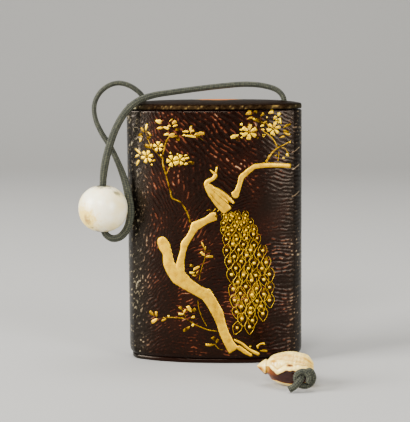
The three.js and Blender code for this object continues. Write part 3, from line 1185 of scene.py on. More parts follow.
@dataclass
class GoldPicture:
    """A peacock on a blossoming tree in low relief on the case's front.

    Places are [x, z] on the face and widths are across a stroke, all in millimetres.
    """

    form: CaseForm
    finish: SprinkledGold = field(default_factory=SprinkledGold)
    base: float = 0.1  # how far the skin stands off the face
    sink: float = 0.12  # how far a stroke's edge lies below the skin
    back: float = 0.12  # how thick each flake of gold is
    face_length: float = 0.55
    trunk_height: float = 0.36
    root_height: float = 0.28
    twig_height: float = 0.18
    petal_height: float = 0.24

    def stroke(
        self, mesh: bmesh.types.BMesh, points: Sequence[tuple[float, float, float]],
        height: float, tone: Tone, along: int = 0, across: int = 4, blunt: bool = True,
        angular: bool = False,
    ) -> None:
        """Adds one domed stroke of gold.

        Args:
            mesh: The bmesh to add to.
            points: Place and width at each point along the stroke.
            height: How high the middle stands.
            tone: How thick the gold is.
            along: Faces along the stroke, worked out if 0.
            across: Faces across it.
            blunt: Whether the ends are rounded.
            angular: Whether it runs straight from point to point.
        """
        samples = [Vector(point) for point in points] if angular else smooth_route(points, 8)
        flat = [Vector((p.x, p.y)) for p in samples]
        length = sum((b - a).length for a, b in zip(flat, flat[1:]))
        along = along or max(4, round(length / self.face_length))
        steps = even_steps(samples, length / along)
        count = len(steps) - 1

        def place(u: float, v: float) -> Vector:
            """Finds a corner of the stroke.

            Args:
                u: Share along the stroke.
                v: Share across it.

            Returns:
                Its place in millimetres.
            """
            i = min(count, round(u * along))
            here = steps[i]
            tangent = steps[min(count, i + 1)] - steps[max(0, i - 1)]
            side = Vector((-tangent.y, tangent.x)).normalized()
            width = abs(here.z)
            if blunt:
                room = min(i, count - i) * length / along
                width *= math.sqrt(max(0.0, 1 - (1 - min(1.0, 2 * room / max(width, 0.01))) ** 2))
            offset = side * (v - 0.5) * width
            dome = math.sqrt(max(0.0, 1 - (2 * v - 1) ** 2))
            share = min(1.0, width / max(0.01, abs(here.z))) if blunt else 1.0
            lift = height * dome * share + self.base - self.sink
            return self.form.on_front(here.x + offset.x, here.y + offset.y, lift)

        add_grid(mesh, along, across, place, lambda u, v: tone.value)

    def leaf(
        self, mesh: bmesh.types.BMesh, x: float, z: float, angle: float, length: float,
        width: float, tone: Tone, height: float = 0.2,
    ) -> None:
        """Adds a pointed leaf.

        Args:
            mesh: The bmesh to add to.
            x: The place of its stalk across the case.
            z: The height of its stalk.
            angle: The way that it points, in degrees.
            length: Its length.
            width: Its width.
            tone: How thick the gold is.
            height: How high its middle stands.
        """
        ahead = Vector((math.cos(math.radians(angle)), math.sin(math.radians(angle))))
        side = Vector((-ahead.y, ahead.x)) * length * 0.08
        stops = ((0.0, 0.12), (0.25, 0.85), (0.5, 1.0), (0.75, 0.75), (1.0, 0.08))
        points = []
        for share, wide in stops:
            bow = side * math.sin(math.pi * share)
            spot = Vector((x, z)) + ahead * length * (1.24 * share - 0.12) + bow
            points.append((spot.x, spot.y, 1.25 * width * wide))
        self.stroke(mesh, points, height, tone, along=6, across=3, blunt=False)

    def blossom(
        self, mesh: bmesh.types.BMesh, x: float, z: float, size: float, turn: float, petals: int = 5,
    ) -> None:
        """Adds a flower of plump, separate petals and a raised eye.

        Args:
            mesh: The bmesh to add to.
            x: Its place across the case.
            z: Its height.
            size: Its width.
            turn: The way that the first petal points, in degrees.
            petals: How many petals it has.
        """
        for petal in range(petals):
            angle = math.radians(turn + 360 / petals * petal)
            ahead = Vector((math.cos(angle), math.sin(angle)))
            points = []
            for share, wide in ((0.2, 0.14), (0.5, 0.72), (0.88, 0.98), (1.3, 0.44)):
                spot = Vector((x, z)) + ahead * size / 2 * share
                points.append((spot.x, spot.y, size / 2 * wide * 5 / petals))
            self.stroke(mesh, points, self.petal_height, Tone.PALE, along=5, across=3, blunt=False)
        self.dot(mesh, x, z, size * 0.14, Tone.SOFT)

    def dot(
        self, mesh: bmesh.types.BMesh, x: float, z: float, size: float, tone: Tone,
        height: float = 0.28,
    ) -> None:
        """Adds a small round drop of gold."""
        points = [(x, z - size / 2, size), (x, z, size), (x, z + size / 2, size)]
        self.stroke(mesh, points, height, tone, along=4, across=3)

    def finished(
        self, name: str, mesh: bmesh.types.BMesh, material: bpy.types.Material,
    ) -> bpy.types.Object:
        """Gives the strokes a back, so that each is a closed flake of gold, and makes the piece.

        Args:
            name: The piece's name.
            mesh: The strokes, which are freed.
            material: Its finish.

        Returns:
            The new piece.
        """
        bmesh.ops.recalc_face_normals(mesh, faces=mesh.faces)
        inward = [face for face in mesh.faces if face.normal.y > 0]
        bmesh.ops.reverse_faces(mesh, faces=inward)
        bmesh.ops.solidify(mesh, geom=mesh.faces[:], thickness=self.back * MM)
        bmesh.ops.remove_doubles(mesh, verts=mesh.verts, dist=1e-7)
        bmesh.ops.recalc_face_normals(mesh, faces=mesh.faces)
        settle(mesh)
        return object_of(name, mesh, material)

    def tree(self) -> bmesh.types.BMesh:
        """Makes the trunk, its limbs, roots and twigs.

        Returns:
            The strokes, still without a back.
        """
        mesh = bmesh.new()
        limbs = (
            [(-17.9, 43.6, 3.4), (-16.5, 40.7, 4.8), (-15.3, 38.0, 3.8), (-14.8, 34.2, 4.5),
             (-13.4, 32.0, 5.4), (-11.4, 29.9, 6.4), (-8.7, 27.7, 5.0), (-4.8, 25.3, 4.3),
             (-1.8, 23.8, 4.8), (0.1, 20.8, 4.4), (1.9, 17.5, 4.4), (3.0, 14.0, 3.5),
             (4.0, 10.8, 3.7), (5.9, 6.8, 3.8), (8.2, 3.4, 4.8)],
            [(-11.3, 29.6, 4.6), (-10.7, 35.4, 2.8), (-9.8, 38.8, 2.3), (-9.3, 41.3, 3.0),
             (-7.8, 43.4, 2.4), (-6.4, 45.7, 2.6), (-5.6, 47.4, 3.6), (-1.7, 49.4, 2.6),
             (0.6, 50.7, 3.5), (2.7, 51.0, 3.0)],
            [(7.0, 57.2, 3.0), (7.9, 58.0, 3.1), (8.8, 59.5, 2.0), (9.6, 61.9, 1.7),
             (10.1, 64.0, 2.1), (12.2, 65.8, 2.0), (14.4, 67.5, 1.9), (18.0, 67.9, 1.9),
             (22.2, 67.8, 1.7), (27.0, 67.3, 1.7)],
        )
        for limb in limbs:
            self.stroke(mesh, limb, self.trunk_height, Tone.FULL, across=8, angular=True)
        roots = (
            [(7.2, 8.8, 0.5), (8.0, 8.2, 1.0), (9.9, 7.2, 1.1), (12.3, 5.2, 1.1), (14.5, 3.9, 1.4),
             (16.2, 3.1, 1.2)],
            [(8.2, 6.3, 2.2), (11.2, 4.2, 1.7), (13.6, 2.7, 1.0)],
            [(-1.9, 26.0, 1.5), (-0.9, 25.3, 1.3), (-0.6, 24.5, 1.0)],
        )
        for root in roots:
            self.stroke(mesh, root, self.root_height, Tone.FULL, across=4)
        self.dot(mesh, 1.5, 50.8, 1.5, Tone.DIM, 0.44)
        twigs = (
            [(-7.2, 48.2, 1.0), (-7.9, 50.9, 0.8), (-9.1, 53.5, 0.9), (-10.7, 55.6, 0.85),
             (-13.5, 56.9, 0.8), (-14.0, 59.1, 0.8), (-14.9, 62.6, 0.75), (-15.5, 64.9, 0.9),
             (-16.4, 67.8, 0.8), (-16.5, 70.7, 0.8), (-15.9, 73.6, 0.85), (-15.1, 76.1, 0.9),
             (-13.8, 78.0, 0.7)],
            [(-15.4, 64.4, 0.5), (-14.7, 66.3, 0.4), (-13.8, 67.8, 0.35)],
            [(-16.4, 70.0, 0.5), (-18.6, 72.0, 0.45), (-20.8, 74.6, 0.4), (-22.0, 77.6, 0.35),
             (-22.8, 79.8, 0.3)],
            [(-8.6, 78.4, 0.4), (-5.2, 77.9, 0.4), (-3.4, 77.0, 0.3), (-2.4, 76.2, 0.25)],
            [(18.0, 68.6, 1.4), (19.1, 70.3, 1.1), (20.6, 72.3, 0.9), (22.2, 73.6, 0.8),
             (24.3, 74.6, 0.6), (26.9, 76.1, 0.4)],
            [(22.2, 73.6, 0.8), (21.0, 76.0, 0.7), (19.8, 77.5, 0.6), (18.2, 78.8, 0.5),
             (16.9, 79.6, 0.4)],
            [(19.8, 78.6, 0.5), (18.9, 81.2, 0.5), (17.6, 82.9, 0.4)],
            [(22.2, 68.8, 0.5), (22.5, 71.0, 0.4), (22.6, 72.7, 0.3)],
            [(22.9, 73.5, 0.3), (24.3, 73.5, 0.3), (25.3, 72.3, 0.3), (25.7, 71.5, 0.3)],
            [(-4.4, 28.4, 0.4), (-4.1, 30.6, 0.45), (-3.3, 33.7, 0.4), (-2.4, 36.3, 0.4),
             (-2.5, 38.7, 0.35), (-2.9, 41.9, 0.3)],
            [(-4.2, 30.2, 0.35), (-5.2, 31.8, 0.3)],
            [(2.0, 11.3, 0.5), (-1.7, 11.9, 0.7), (-5.8, 13.6, 0.7), (-9.1, 15.4, 0.7),
             (-13.2, 15.8, 0.7), (-17.6, 15.5, 0.5)],
            [(-9.0, 15.6, 0.5), (-9.6, 17.2, 0.4), (-10.6, 19.0, 0.3)],
            [(-4.9, 22.6, 0.5), (-4.6, 19.3, 0.45), (-3.3, 15.6, 0.4), (-1.7, 12.7, 0.35)],
            [(4.0, 4.9, 0.45), (2.6, 5.1, 0.4), (1.4, 6.0, 0.35), (0.6, 7.4, 0.3)],
        )
        for twig in twigs:
            tone = Tone.SOFT if twig[0][0] > 10 else Tone.DIM
            self.stroke(mesh, twig, self.twig_height, tone, across=3)
        return mesh

    def foliage(self) -> bmesh.types.BMesh:
        """Makes the leaves, buds and blossoms in their clusters.

        Returns:
            The strokes, still without a back.
        """
        mesh = bmesh.new()
        leaves = (
            (-18.7, 82.8, 340, 2.7, 1.8, Tone.PALE), (-18.3, 80.2, 5, 2.4, 1.2, Tone.SOFT),
            (-14.6, 80.9, 20, 1.5, 1.1, Tone.FULL), (-16.0, 80.7, 335, 2.3, 1.3, Tone.PALE),
            (-15.8, 78.1, 10, 1.9, 1.1, Tone.PALE), (-12.9, 81.9, 30, 2.2, 1.5, Tone.SOFT),
            (-12.7, 81.0, 15, 1.8, 0.9, Tone.FULL), (-14.0, 82.6, 40, 1.6, 0.5, Tone.SOFT),
            (-14.1, 77.9, 355, 2.9, 2.2, Tone.SOFT), (-11.3, 78.0, 268, 2.3, 1.4, Tone.THIN),
            (-11.9, 79.7, 10, 2.2, 1.4, Tone.THIN), (-9.4, 79.2, 0, 2.1, 1.0, Tone.PALE),
            (-6.8, 79.0, 80, 2.7, 1.0, Tone.FULL), (-6.6, 79.3, 15, 1.4, 1.0, Tone.FULL),
            (-8.4, 77.8, 352, 3.5, 1.2, Tone.PALE), (-5.2, 78.2, 6, 3.5, 1.7, Tone.SOFT),
            (-9.4, 78.0, 10, 1.2, 0.8, Tone.PALE), (-22.3, 79.8, 75, 2.4, 1.1, Tone.PALE),
            (-23.1, 79.2, 120, 2.2, 1.2, Tone.SOFT), (-21.7, 79.0, 310, 2.0, 0.9, Tone.SOFT),
            (-21.0, 74.2, 165, 2.8, 1.9, Tone.THIN), (-20.8, 73.6, 60, 2.0, 1.1, Tone.SOFT),
            (-26.2, 73.0, 318, 2.8, 1.2, Tone.PALE), (-25.8, 67.7, 62, 2.2, 1.1, Tone.PALE),
            (-20.0, 69.2, 20, 1.5, 1.0, Tone.SOFT), (-26.3, 70.4, 30, 1.8, 0.9, Tone.PALE),
            (-8.9, 68.2, 20, 1.5, 1.1, Tone.PALE), (-8.7, 70.1, 15, 1.7, 1.0, Tone.PALE),
            (-8.9, 71.2, 10, 1.2, 0.8, Tone.PALE), (-7.7, 68.7, 355, 2.7, 1.7, Tone.THIN),
            (-24.6, 75.7, 60, 1.8, 1.0, Tone.PALE), (-23.6, 77.3, 140, 1.8, 0.9, Tone.SOFT),
            (8.9, 78.2, 198, 3.2, 1.7, Tone.PALE), (8.3, 77.4, 300, 2.3, 1.5, Tone.THIN),
            (11.9, 85.0, 10, 2.5, 1.6, Tone.SOFT), (14.2, 85.6, 350, 1.8, 1.3, Tone.THIN),
            (16.8, 84.4, 40, 1.8, 1.2, Tone.SOFT), (14.6, 83.0, 350, 2.9, 1.7, Tone.THIN),
            (12.4, 83.4, 20, 1.8, 0.9, Tone.SOFT), (19.4, 85.2, 10, 2.1, 1.4, Tone.PALE),
            (22.3, 84.3, 50, 1.9, 1.2, Tone.PALE), (21.0, 83.2, 60, 1.6, 1.0, Tone.FULL),
            (23.3, 81.8, 100, 2.2, 1.1, Tone.PALE), (24.2, 80.4, 25, 2.4, 1.1, Tone.SOFT),
            (24.3, 78.5, 330, 2.2, 1.0, Tone.SOFT), (23.0, 77.0, 10, 1.9, 0.9, Tone.SOFT),
            (16.6, 80.9, 20, 1.6, 1.1, Tone.PALE), (16.8, 79.9, 340, 1.5, 1.0, Tone.FULL),
            (9.9, 81.5, 10, 1.5, 1.3, Tone.PALE), (9.7, 79.8, 355, 1.4, 1.1, Tone.PALE),
            (10.0, 77.2, 0, 1.0, 0.9, Tone.PALE), (20.6, 77.9, 10, 1.4, 1.3, Tone.PALE),
            (25.0, 70.9, 20, 1.6, 1.5, Tone.PALE), (23.9, 69.9, 30, 1.1, 1.0, Tone.PALE),
            (21.3, 70.9, 10, 1.1, 0.9, Tone.SOFT), (-25.2, 77.6, 20, 2.3, 1.4, Tone.THIN),
            (-22.0, 76.6, 30, 1.9, 1.0, Tone.THIN), (-12.4, 77.4, 350, 2.2, 1.7, Tone.THIN),
            (24.9, 80.9, 15, 1.9, 0.9, Tone.DIM), (24.0, 79.3, 340, 2.2, 1.1, Tone.THIN),
            (13.6, 81.9, 200, 2.0, 1.1, Tone.THIN), (16.2, 82.3, 330, 2.2, 1.3, Tone.THIN),
            (17.4, 81.9, 20, 1.8, 1.0, Tone.DIM), (15.0, 77.2, 340, 1.5, 1.0, Tone.THIN),
            (-2.5, 37.5, 130, 2.2, 1.2, Tone.PALE), (-2.0, 38.5, 8, 2.4, 1.4, Tone.THIN),
            (-1.8, 36.9, 0, 2.6, 1.2, Tone.SOFT), (-2.2, 39.3, 80, 1.5, 0.6, Tone.SOFT),
            (-2.8, 40.6, 110, 1.7, 0.6, Tone.FULL), (-6.4, 33.8, 155, 1.7, 1.4, Tone.THIN),
            (-6.1, 32.4, 32, 2.6, 1.2, Tone.FULL), (-6.1, 31.6, 178, 1.9, 1.1, Tone.PALE),
            (-5.4, 30.5, 170, 1.5, 0.8, Tone.SOFT), (-5.2, 31.2, 60, 1.2, 0.6, Tone.FULL),
            (-20.4, 16.2, 130, 2.6, 1.4, Tone.DIM), (-19.3, 15.9, 92, 2.2, 1.2, Tone.SOFT),
            (-19.4, 15.0, 216, 3.0, 1.6, Tone.FULL), (-16.0, 15.3, 207, 2.1, 1.0, Tone.SOFT),
            (-15.0, 15.9, 88, 1.2, 1.1, Tone.PALE), (-10.0, 17.2, 172, 2.0, 1.2, Tone.PALE),
            (-10.6, 18.8, 110, 1.7, 1.4, Tone.DIM), (-9.7, 17.4, 62, 1.9, 0.9, Tone.FULL),
            (-7.2, 18.2, 118, 2.8, 1.7, Tone.FULL), (-6.8, 18.0, 38, 2.2, 1.6, Tone.THIN),
            (-7.0, 15.9, 20, 1.6, 1.1, Tone.FULL), (-6.4, 13.8, 225, 1.6, 1.2, Tone.PALE),
            (-8.0, 12.8, 215, 2.9, 1.4, Tone.DIM), (0.9, 8.4, 125, 2.2, 1.7, Tone.THIN),
            (1.4, 7.4, 60, 1.8, 1.1, Tone.DIM), (0.4, 6.8, 178, 3.2, 1.2, Tone.SOFT),
            (12.9, 5.9, 90, 1.1, 1.2, Tone.PALE), (16.4, 4.4, 352, 2.6, 1.1, Tone.SOFT),
        )
        for leaf in leaves:
            self.leaf(mesh, *leaf)
        curl = [(15.5, 4.9, 0.7), (15.3, 6.0, 0.9), (16.2, 6.8, 1.0), (17.6, 6.9, 1.1),
                (17.4, 6.1, 0.7)]
        self.stroke(mesh, curl, 0.22, Tone.FULL, along=8, across=3)
        blossoms = (
            (-22.1, 70.7, 4.4, 12, 6), (-18.0, 74.2, 3.9, 20, 5), (-13.2, 69.4, 4.4, 35, 5),
            (-10.6, 69.8, 4.0, 8, 5), (12.8, 79.1, 5.2, 25, 6), (20.8, 80.1, 4.4, 15, 6),
            (22.2, 82.6, 2.4, 40, 4), (17.6, 77.9, 1.8, 30, 3),
        )
        for blossom in blossoms:
            self.blossom(mesh, *blossom)
        drops = (
            (-20.4, 68.0), (-24.6, 76.6), (-17.1, 71.3), (-13.8, 72.1), (-11.3, 71.7), (18.6, 83.9),
            (21.6, 83.9), (22.9, 80.6), (14.3, 83.5), (10.1, 78.6), (26.2, 75.4), (26.0, 78.0),
        )
        for x, z in drops:
            self.dot(mesh, x, z, 0.95, Tone.PALE, 0.2)
        return mesh

    def bird(self) -> bmesh.types.BMesh:
        """Makes the peacock's body, wing, neck, head and feet.

        Returns:
            The strokes, still without a back.
        """
        mesh = bmesh.new()
        body = [(-1.7, 61.9, 1.6), (-1.2, 61.0, 2.7), (-0.3, 59.9, 3.7), (1.0, 58.3, 4.5),
                (2.4, 56.6, 4.9), (3.9, 54.5, 4.6), (5.2, 52.8, 3.6), (6.2, 51.4, 2.4)]
        self.stroke(mesh, body, 0.4, Tone.FULL, across=8)
        wing = [(0.4, 60.8, 0.8), (3.0, 59.0, 1.9), (5.6, 56.9, 2.0), (8.0, 54.9, 0.6)]
        self.stroke(mesh, wing, 0.5, Tone.FULL, across=5)
        neck = [(-1.2, 60.6, 2.6), (-1.7, 61.7, 2.0), (-1.3, 62.5, 1.8), (-0.4, 63.0, 1.6),
                (0.7, 63.6, 1.5), (1.4, 64.5, 1.6), (1.2, 65.6, 1.3)]
        self.stroke(mesh, neck, 0.44, Tone.FULL, across=6)
        self.stroke(mesh, [(1.3, 65.0, 1.3), (0.4, 65.8, 0.9), (-0.6, 66.7, 0.3)], 0.4, Tone.FULL, across=4)
        self.stroke(mesh, [(1.5, 65.2, 1.0), (1.7, 66.4, 0.7), (2.1, 67.8, 0.8)], 0.36, Tone.FULL, across=4)
        self.dot(mesh, 1.1, 65.0, 0.35, Tone.THIN, 0.5)
        for line in (
            [(-0.6, 60.6, 0.2), (2.2, 58.0, 0.25), (5.4, 55.3, 0.25), (7.3, 54.0, 0.15)],
            [(-0.8, 59.0, 0.2), (1.2, 56.4, 0.25), (3.6, 53.9, 0.2)],
            [(1.6, 59.9, 0.15), (4.4, 57.4, 0.2), (6.8, 55.2, 0.15)],
        ):
            self.stroke(mesh, line, 0.56, Tone.THIN, across=2)
        for foot_x in (0.4, 1.9):
            self.stroke(mesh, [(foot_x + 1.2, 53.6, 0.7), (foot_x, 52.2, 0.4)], 0.3, Tone.SOFT, across=3)
        claw = [(-2.2, 52.4, 0.25), (-0.8, 53.0, 0.3), (0.4, 52.6, 0.3)]
        self.stroke(mesh, claw, 0.2, Tone.SOFT, across=2)
        return mesh

    def train(self) -> bmesh.types.BMesh:
        """Makes the peacock's long train from overlapping eyed feathers in staggered rows.

        Returns:
            The strokes, still without a back.
        """
        mesh = bmesh.new()
        sides = (
            (53.4, 4.0, 8.6), (51.8, 3.0, 12.2), (50.4, 2.8, 13.6), (48.4, 3.0, 14.6), (46.0, 3.0, 15.6),
            (43.4, 3.1, 17.0), (40.6, 3.2, 18.6), (37.4, 3.5, 20.0), (33.3, 4.1, 20.9), (29.2, 4.6, 21.5),
            (25.0, 5.3, 21.7), (21.0, 5.9, 20.9), (18.4, 6.2, 19.8), (16.0, 6.3, 18.0), (13.8, 6.5, 15.6),
            (11.8, 6.9, 12.2), (10.2, 7.8, 9.2),
        )
        middle = [((left + right) / 2, z, (right - left) * 0.9) for z, left, right in sides]
        self.stroke(mesh, middle, 0.02, Tone.BARE, along=40, across=12)
        z, row = 51.6, 0
        while z > 11.5:
            lower = next(i for i, side in enumerate(sides) if side[0] <= z)
            (z_0, left_0, right_0), (z_1, left_1, right_1) = sides[lower - 1], sides[lower]
            share = (z_0 - z) / (z_0 - z_1)
            left, right = left_0 + (left_1 - left_0) * share, right_0 + (right_1 - right_0) * share
            size = 1.9 + 1.35 * smooth(0, 18, 52 - z)
            count = max(1, round((right - left) / (size * 1.22)))
            for k in range(count - row % 2 if count > 1 else 1):
                aside = (k + (1.0 if row % 2 and count > 1 else 0.5)) / count
                wobble = noise.noise(Vector((row * 1.7, k * 2.3, 0.5)))
                other = noise.noise(Vector((row * 2.9, k * 1.3, 7.5)))
                x = left + (right - left) * aside + 0.5 * wobble
                angle = -93 + 26 * (aside - 0.4) + 26 * other
                grown = size * (1 + 0.16 * wobble)
                self.feather(mesh, x, z + 0.9 * other, angle, grown, (row + k) % 3)
            z -= size * 0.68
            row += 1
        return mesh

    def feather(
        self, mesh: bmesh.types.BMesh, x: float, z: float, angle: float, size: float, kind: int,
    ) -> None:
        """Adds one feather's end: a soft oval, two long fringes that cross at the tip, and an eye.

        Args:
            mesh: The bmesh to add to.
            x: The eye's place across the case.
            z: The eye's height.
            angle: The way that the feather points, in degrees.
            size: The feather's width.
            kind: Which of the three strengths of gold fills it.
        """
        ahead = Vector((math.cos(math.radians(angle)), math.sin(math.radians(angle))))
        side = Vector((-ahead.y, ahead.x))

        def spot(along: float, aside: float) -> Vector:
            """Finds a place on the feather from shares of its size."""
            return Vector((x, z)) + ahead * size * along + side * size * aside

        fill = (Tone.BARE, Tone.DIM, Tone.THIN)[kind]
        oval = [(*spot(-0.62, 0), 0.2 * size), (*spot(-0.3, 0), 0.56 * size), (*spot(0.05, 0), 0.7 * size),
                (*spot(0.38, 0), 0.46 * size), (*spot(0.62, 0), 0.1 * size)]
        self.stroke(mesh, oval, 0.16, fill, along=6, across=4, blunt=False)
        stops = ((-0.75, 0.1), (-0.4, 0.38), (0.0, 0.5), (0.4, 0.36), (0.75, 0.12), (0.98, -0.06))
        for hand in (1, -1):
            fringe = []
            for along, aside in stops:
                point = spot(along, aside * hand)
                fringe.append((point.x, point.y, 0.058 * size))
            self.stroke(mesh, fringe, 0.24, Tone.PALE if kind == 1 else Tone.FULL, along=8, across=2)
            first, last = spot(-0.5, 0.12 * hand), spot(-0.1, 0.62 * hand)
            self.stroke(
                mesh, [(first.x, first.y, 0.14), (last.x, last.y, 0.1)], 0.2, Tone.SOFT, along=3, across=2,
            )
        below = spot(0.3, 0)
        self.dot(mesh, below.x, below.y, 0.26 * size, Tone.BARE, 0.26)
        eye = spot(0.04, 0)
        self.dot(mesh, eye.x, eye.y, 0.42 * size, Tone.PALE, 0.42)

    def build(self) -> None:
        """Makes the picture's pieces."""
        material = self.finish.material("sprinkled_gold")
        self.finished("gold_train", self.train(), material)
        self.finished("gold_tree", self.tree(), material)
        self.finished("gold_foliage", self.foliage(), material)
        self.finished("gold_bird", self.bird(), material)


# ---------------------------------------------------------------- cord, bead and toggle


@dataclass(frozen=True)
class BraidedCord:
    """The braided cord: the loop through the bead, the tail, and the knot at its end."""

    finish: WaxedBraid = field(default_factory=WaxedBraid)
    radius: float = 0.9
    around: int = 24
    step: float = 0.2

    def tube(
        self, route: Sequence[Vector], widths: Sequence[tuple[float, float]] = ((0, 1), (1, 1)),
        thin: Vector | None = None,
    ) -> bmesh.types.BMesh:
        """Sweeps the braid's section along evenly spaced points in millimetres.

        Args:
            route: The cord's middle line.
            widths: How much wider than round the cord lies, at shares of its length.
            thin: The direction across which it lies flat, if it does.

        Returns:
            A closed bmesh with a UV map in millimetres along and turns around.
        """
        count = len(route) - 1
        tangents = [
            (route[min(count, i + 1)] - route[max(0, i - 1)]).normalized() for i in range(count + 1)
        ]
        normal = thin or tangents[0].orthogonal()
        normals = []
        for tangent in tangents:
            normal = ((thin or normal) - tangent * tangent.dot(thin or normal)).normalized()
            normals.append(normal)
        spacing = (route[1] - route[0]).length
        strands, stitch = self.finish.strands, self.finish.stitch_mm

        def wideness(share: float) -> float:
            """Finds how much wider than round the cord lies.

            Args:
                share: The share of its length.

            Returns:
                Its width over its own round one.
            """
            for (start, low), (end, high) in zip(widths, widths[1:]):
                if share <= end:
                    return low + (high - low) * smooth(start, end, share)
            return widths[-1][1]

        def place(u: float, v: float) -> Vector:
            """Finds a corner of the braid.

            Args:
                u: Share along the cord.
                v: Share of a turn around it.

            Returns:
                Its place in millimetres.
            """
            i = round(u * count)
            angle = TURN * v
            along = TURN * i * spacing / (2 * stitch)
            weave = math.sin(along + strands / 2 * angle) * math.sin(along - strands / 2 * angle)
            reach = self.radius * (1 + 0.03 * weave)
            wide = wideness(i / count)
            across = tangents[i].cross(normals[i])
            flat = min(1.0, 1.5 - 0.5 * wide)
            outward = normals[i] * math.cos(angle) * flat + across * math.sin(angle) * wide
            return route[i] + outward * reach

        return closed_grid(count, self.around, place, None, (count * spacing, 1.0))

    def cord(
        self, name: str, node: str, points: Sequence[Sequence[float]],
        widths: Sequence[tuple[float, float]], thin: Vector, **facts: object,
    ) -> bpy.types.Object:
        """Makes a cord along a route given in metres.

        Args:
            name: The piece's name.
            node: The CAD node that it stands for.
            points: The route.
            widths: How much wider than round the cord lies, at shares of its length.
            thin: The direction across which it lies flat.

        Returns:
            The new cord.
        """
        samples = smooth_route([[value / MM for value in point] for point in points], 24)
        route = even_steps(samples, self.step)
        length = sum((b - a).length for a, b in zip(route, route[1:])) * MM
        mesh = self.tube(route, widths, thin)
        piece = object_of(name, mesh, self.finish.material(name + "_braid"))
        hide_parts(node)
        path = [tuple(point * MM) for point in route[::6]] + [tuple(route[-1] * MM)]
        log.info("%s is %.1f mm long", name, length / MM)
        return piece


@dataclass(frozen=True)
class Bead:
    """The round bead that slides on the cord, a little out of true as hand-turned ones are."""

    centre: Vector
    radius: float = 8.4
    half_height: float = 8.0
    bore: float = 1.3
    mouth: float = 2.0
    funnel: float = 1.4
    squareness: float = 2.12
    out_of_true: float = 0.07
    arc_steps: int = 40
    spin_steps: int = 72
    finish: PolishedBone = field(default_factory=PolishedBone)

    def build(self) -> bpy.types.Object:
        """Spins the bead's section about its bore.

        Returns:
            The bead.
        """
        mesh = bmesh.new()
        start = math.asin(self.mouth / self.radius)
        plump = 2 / self.squareness
        section = []
        for i in range(self.arc_steps + 1):
            angle = start + (math.pi - 2 * start) * i / self.arc_steps
            rise = math.copysign(abs(math.cos(angle)) ** plump, math.cos(angle))
            section.append((self.radius * math.sin(angle) ** plump, -self.half_height * rise))
        deep = section[-1][1] - self.funnel
        section += [(self.mouth - 0.25, section[-1][1] - 0.12), (self.bore, deep), (self.bore, -deep)]
        section += [(self.mouth - 0.25, section[0][1] + 0.12)]
        verts = [mesh.verts.new(Vector((x, 0, z)) * MM) for x, z in section]
        edges = [mesh.edges.new(pair) for pair in zip(verts, verts[1:] + verts[:1])]
        bmesh.ops.spin(
            mesh, geom=verts + edges, cent=(0, 0, 0), axis=(0, 0, 1), angle=TURN,
            steps=self.spin_steps, use_merge=True,
        )
        for vert in mesh.verts:
            direction = vert.co.normalized()
            bulge = noise.noise(direction * 1.8 + Vector((5, 2, 7)))
            vert.co += direction * self.out_of_true * MM * bulge
        bmesh.ops.translate(mesh, vec=self.centre, verts=mesh.verts)
        bmesh.ops.recalc_face_normals(mesh, faces=mesh.faces)
        settle(mesh)
        piece = object_of("polished_bead", mesh, self.finish.material("polished_bone"))
        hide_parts("bead")
        return piece


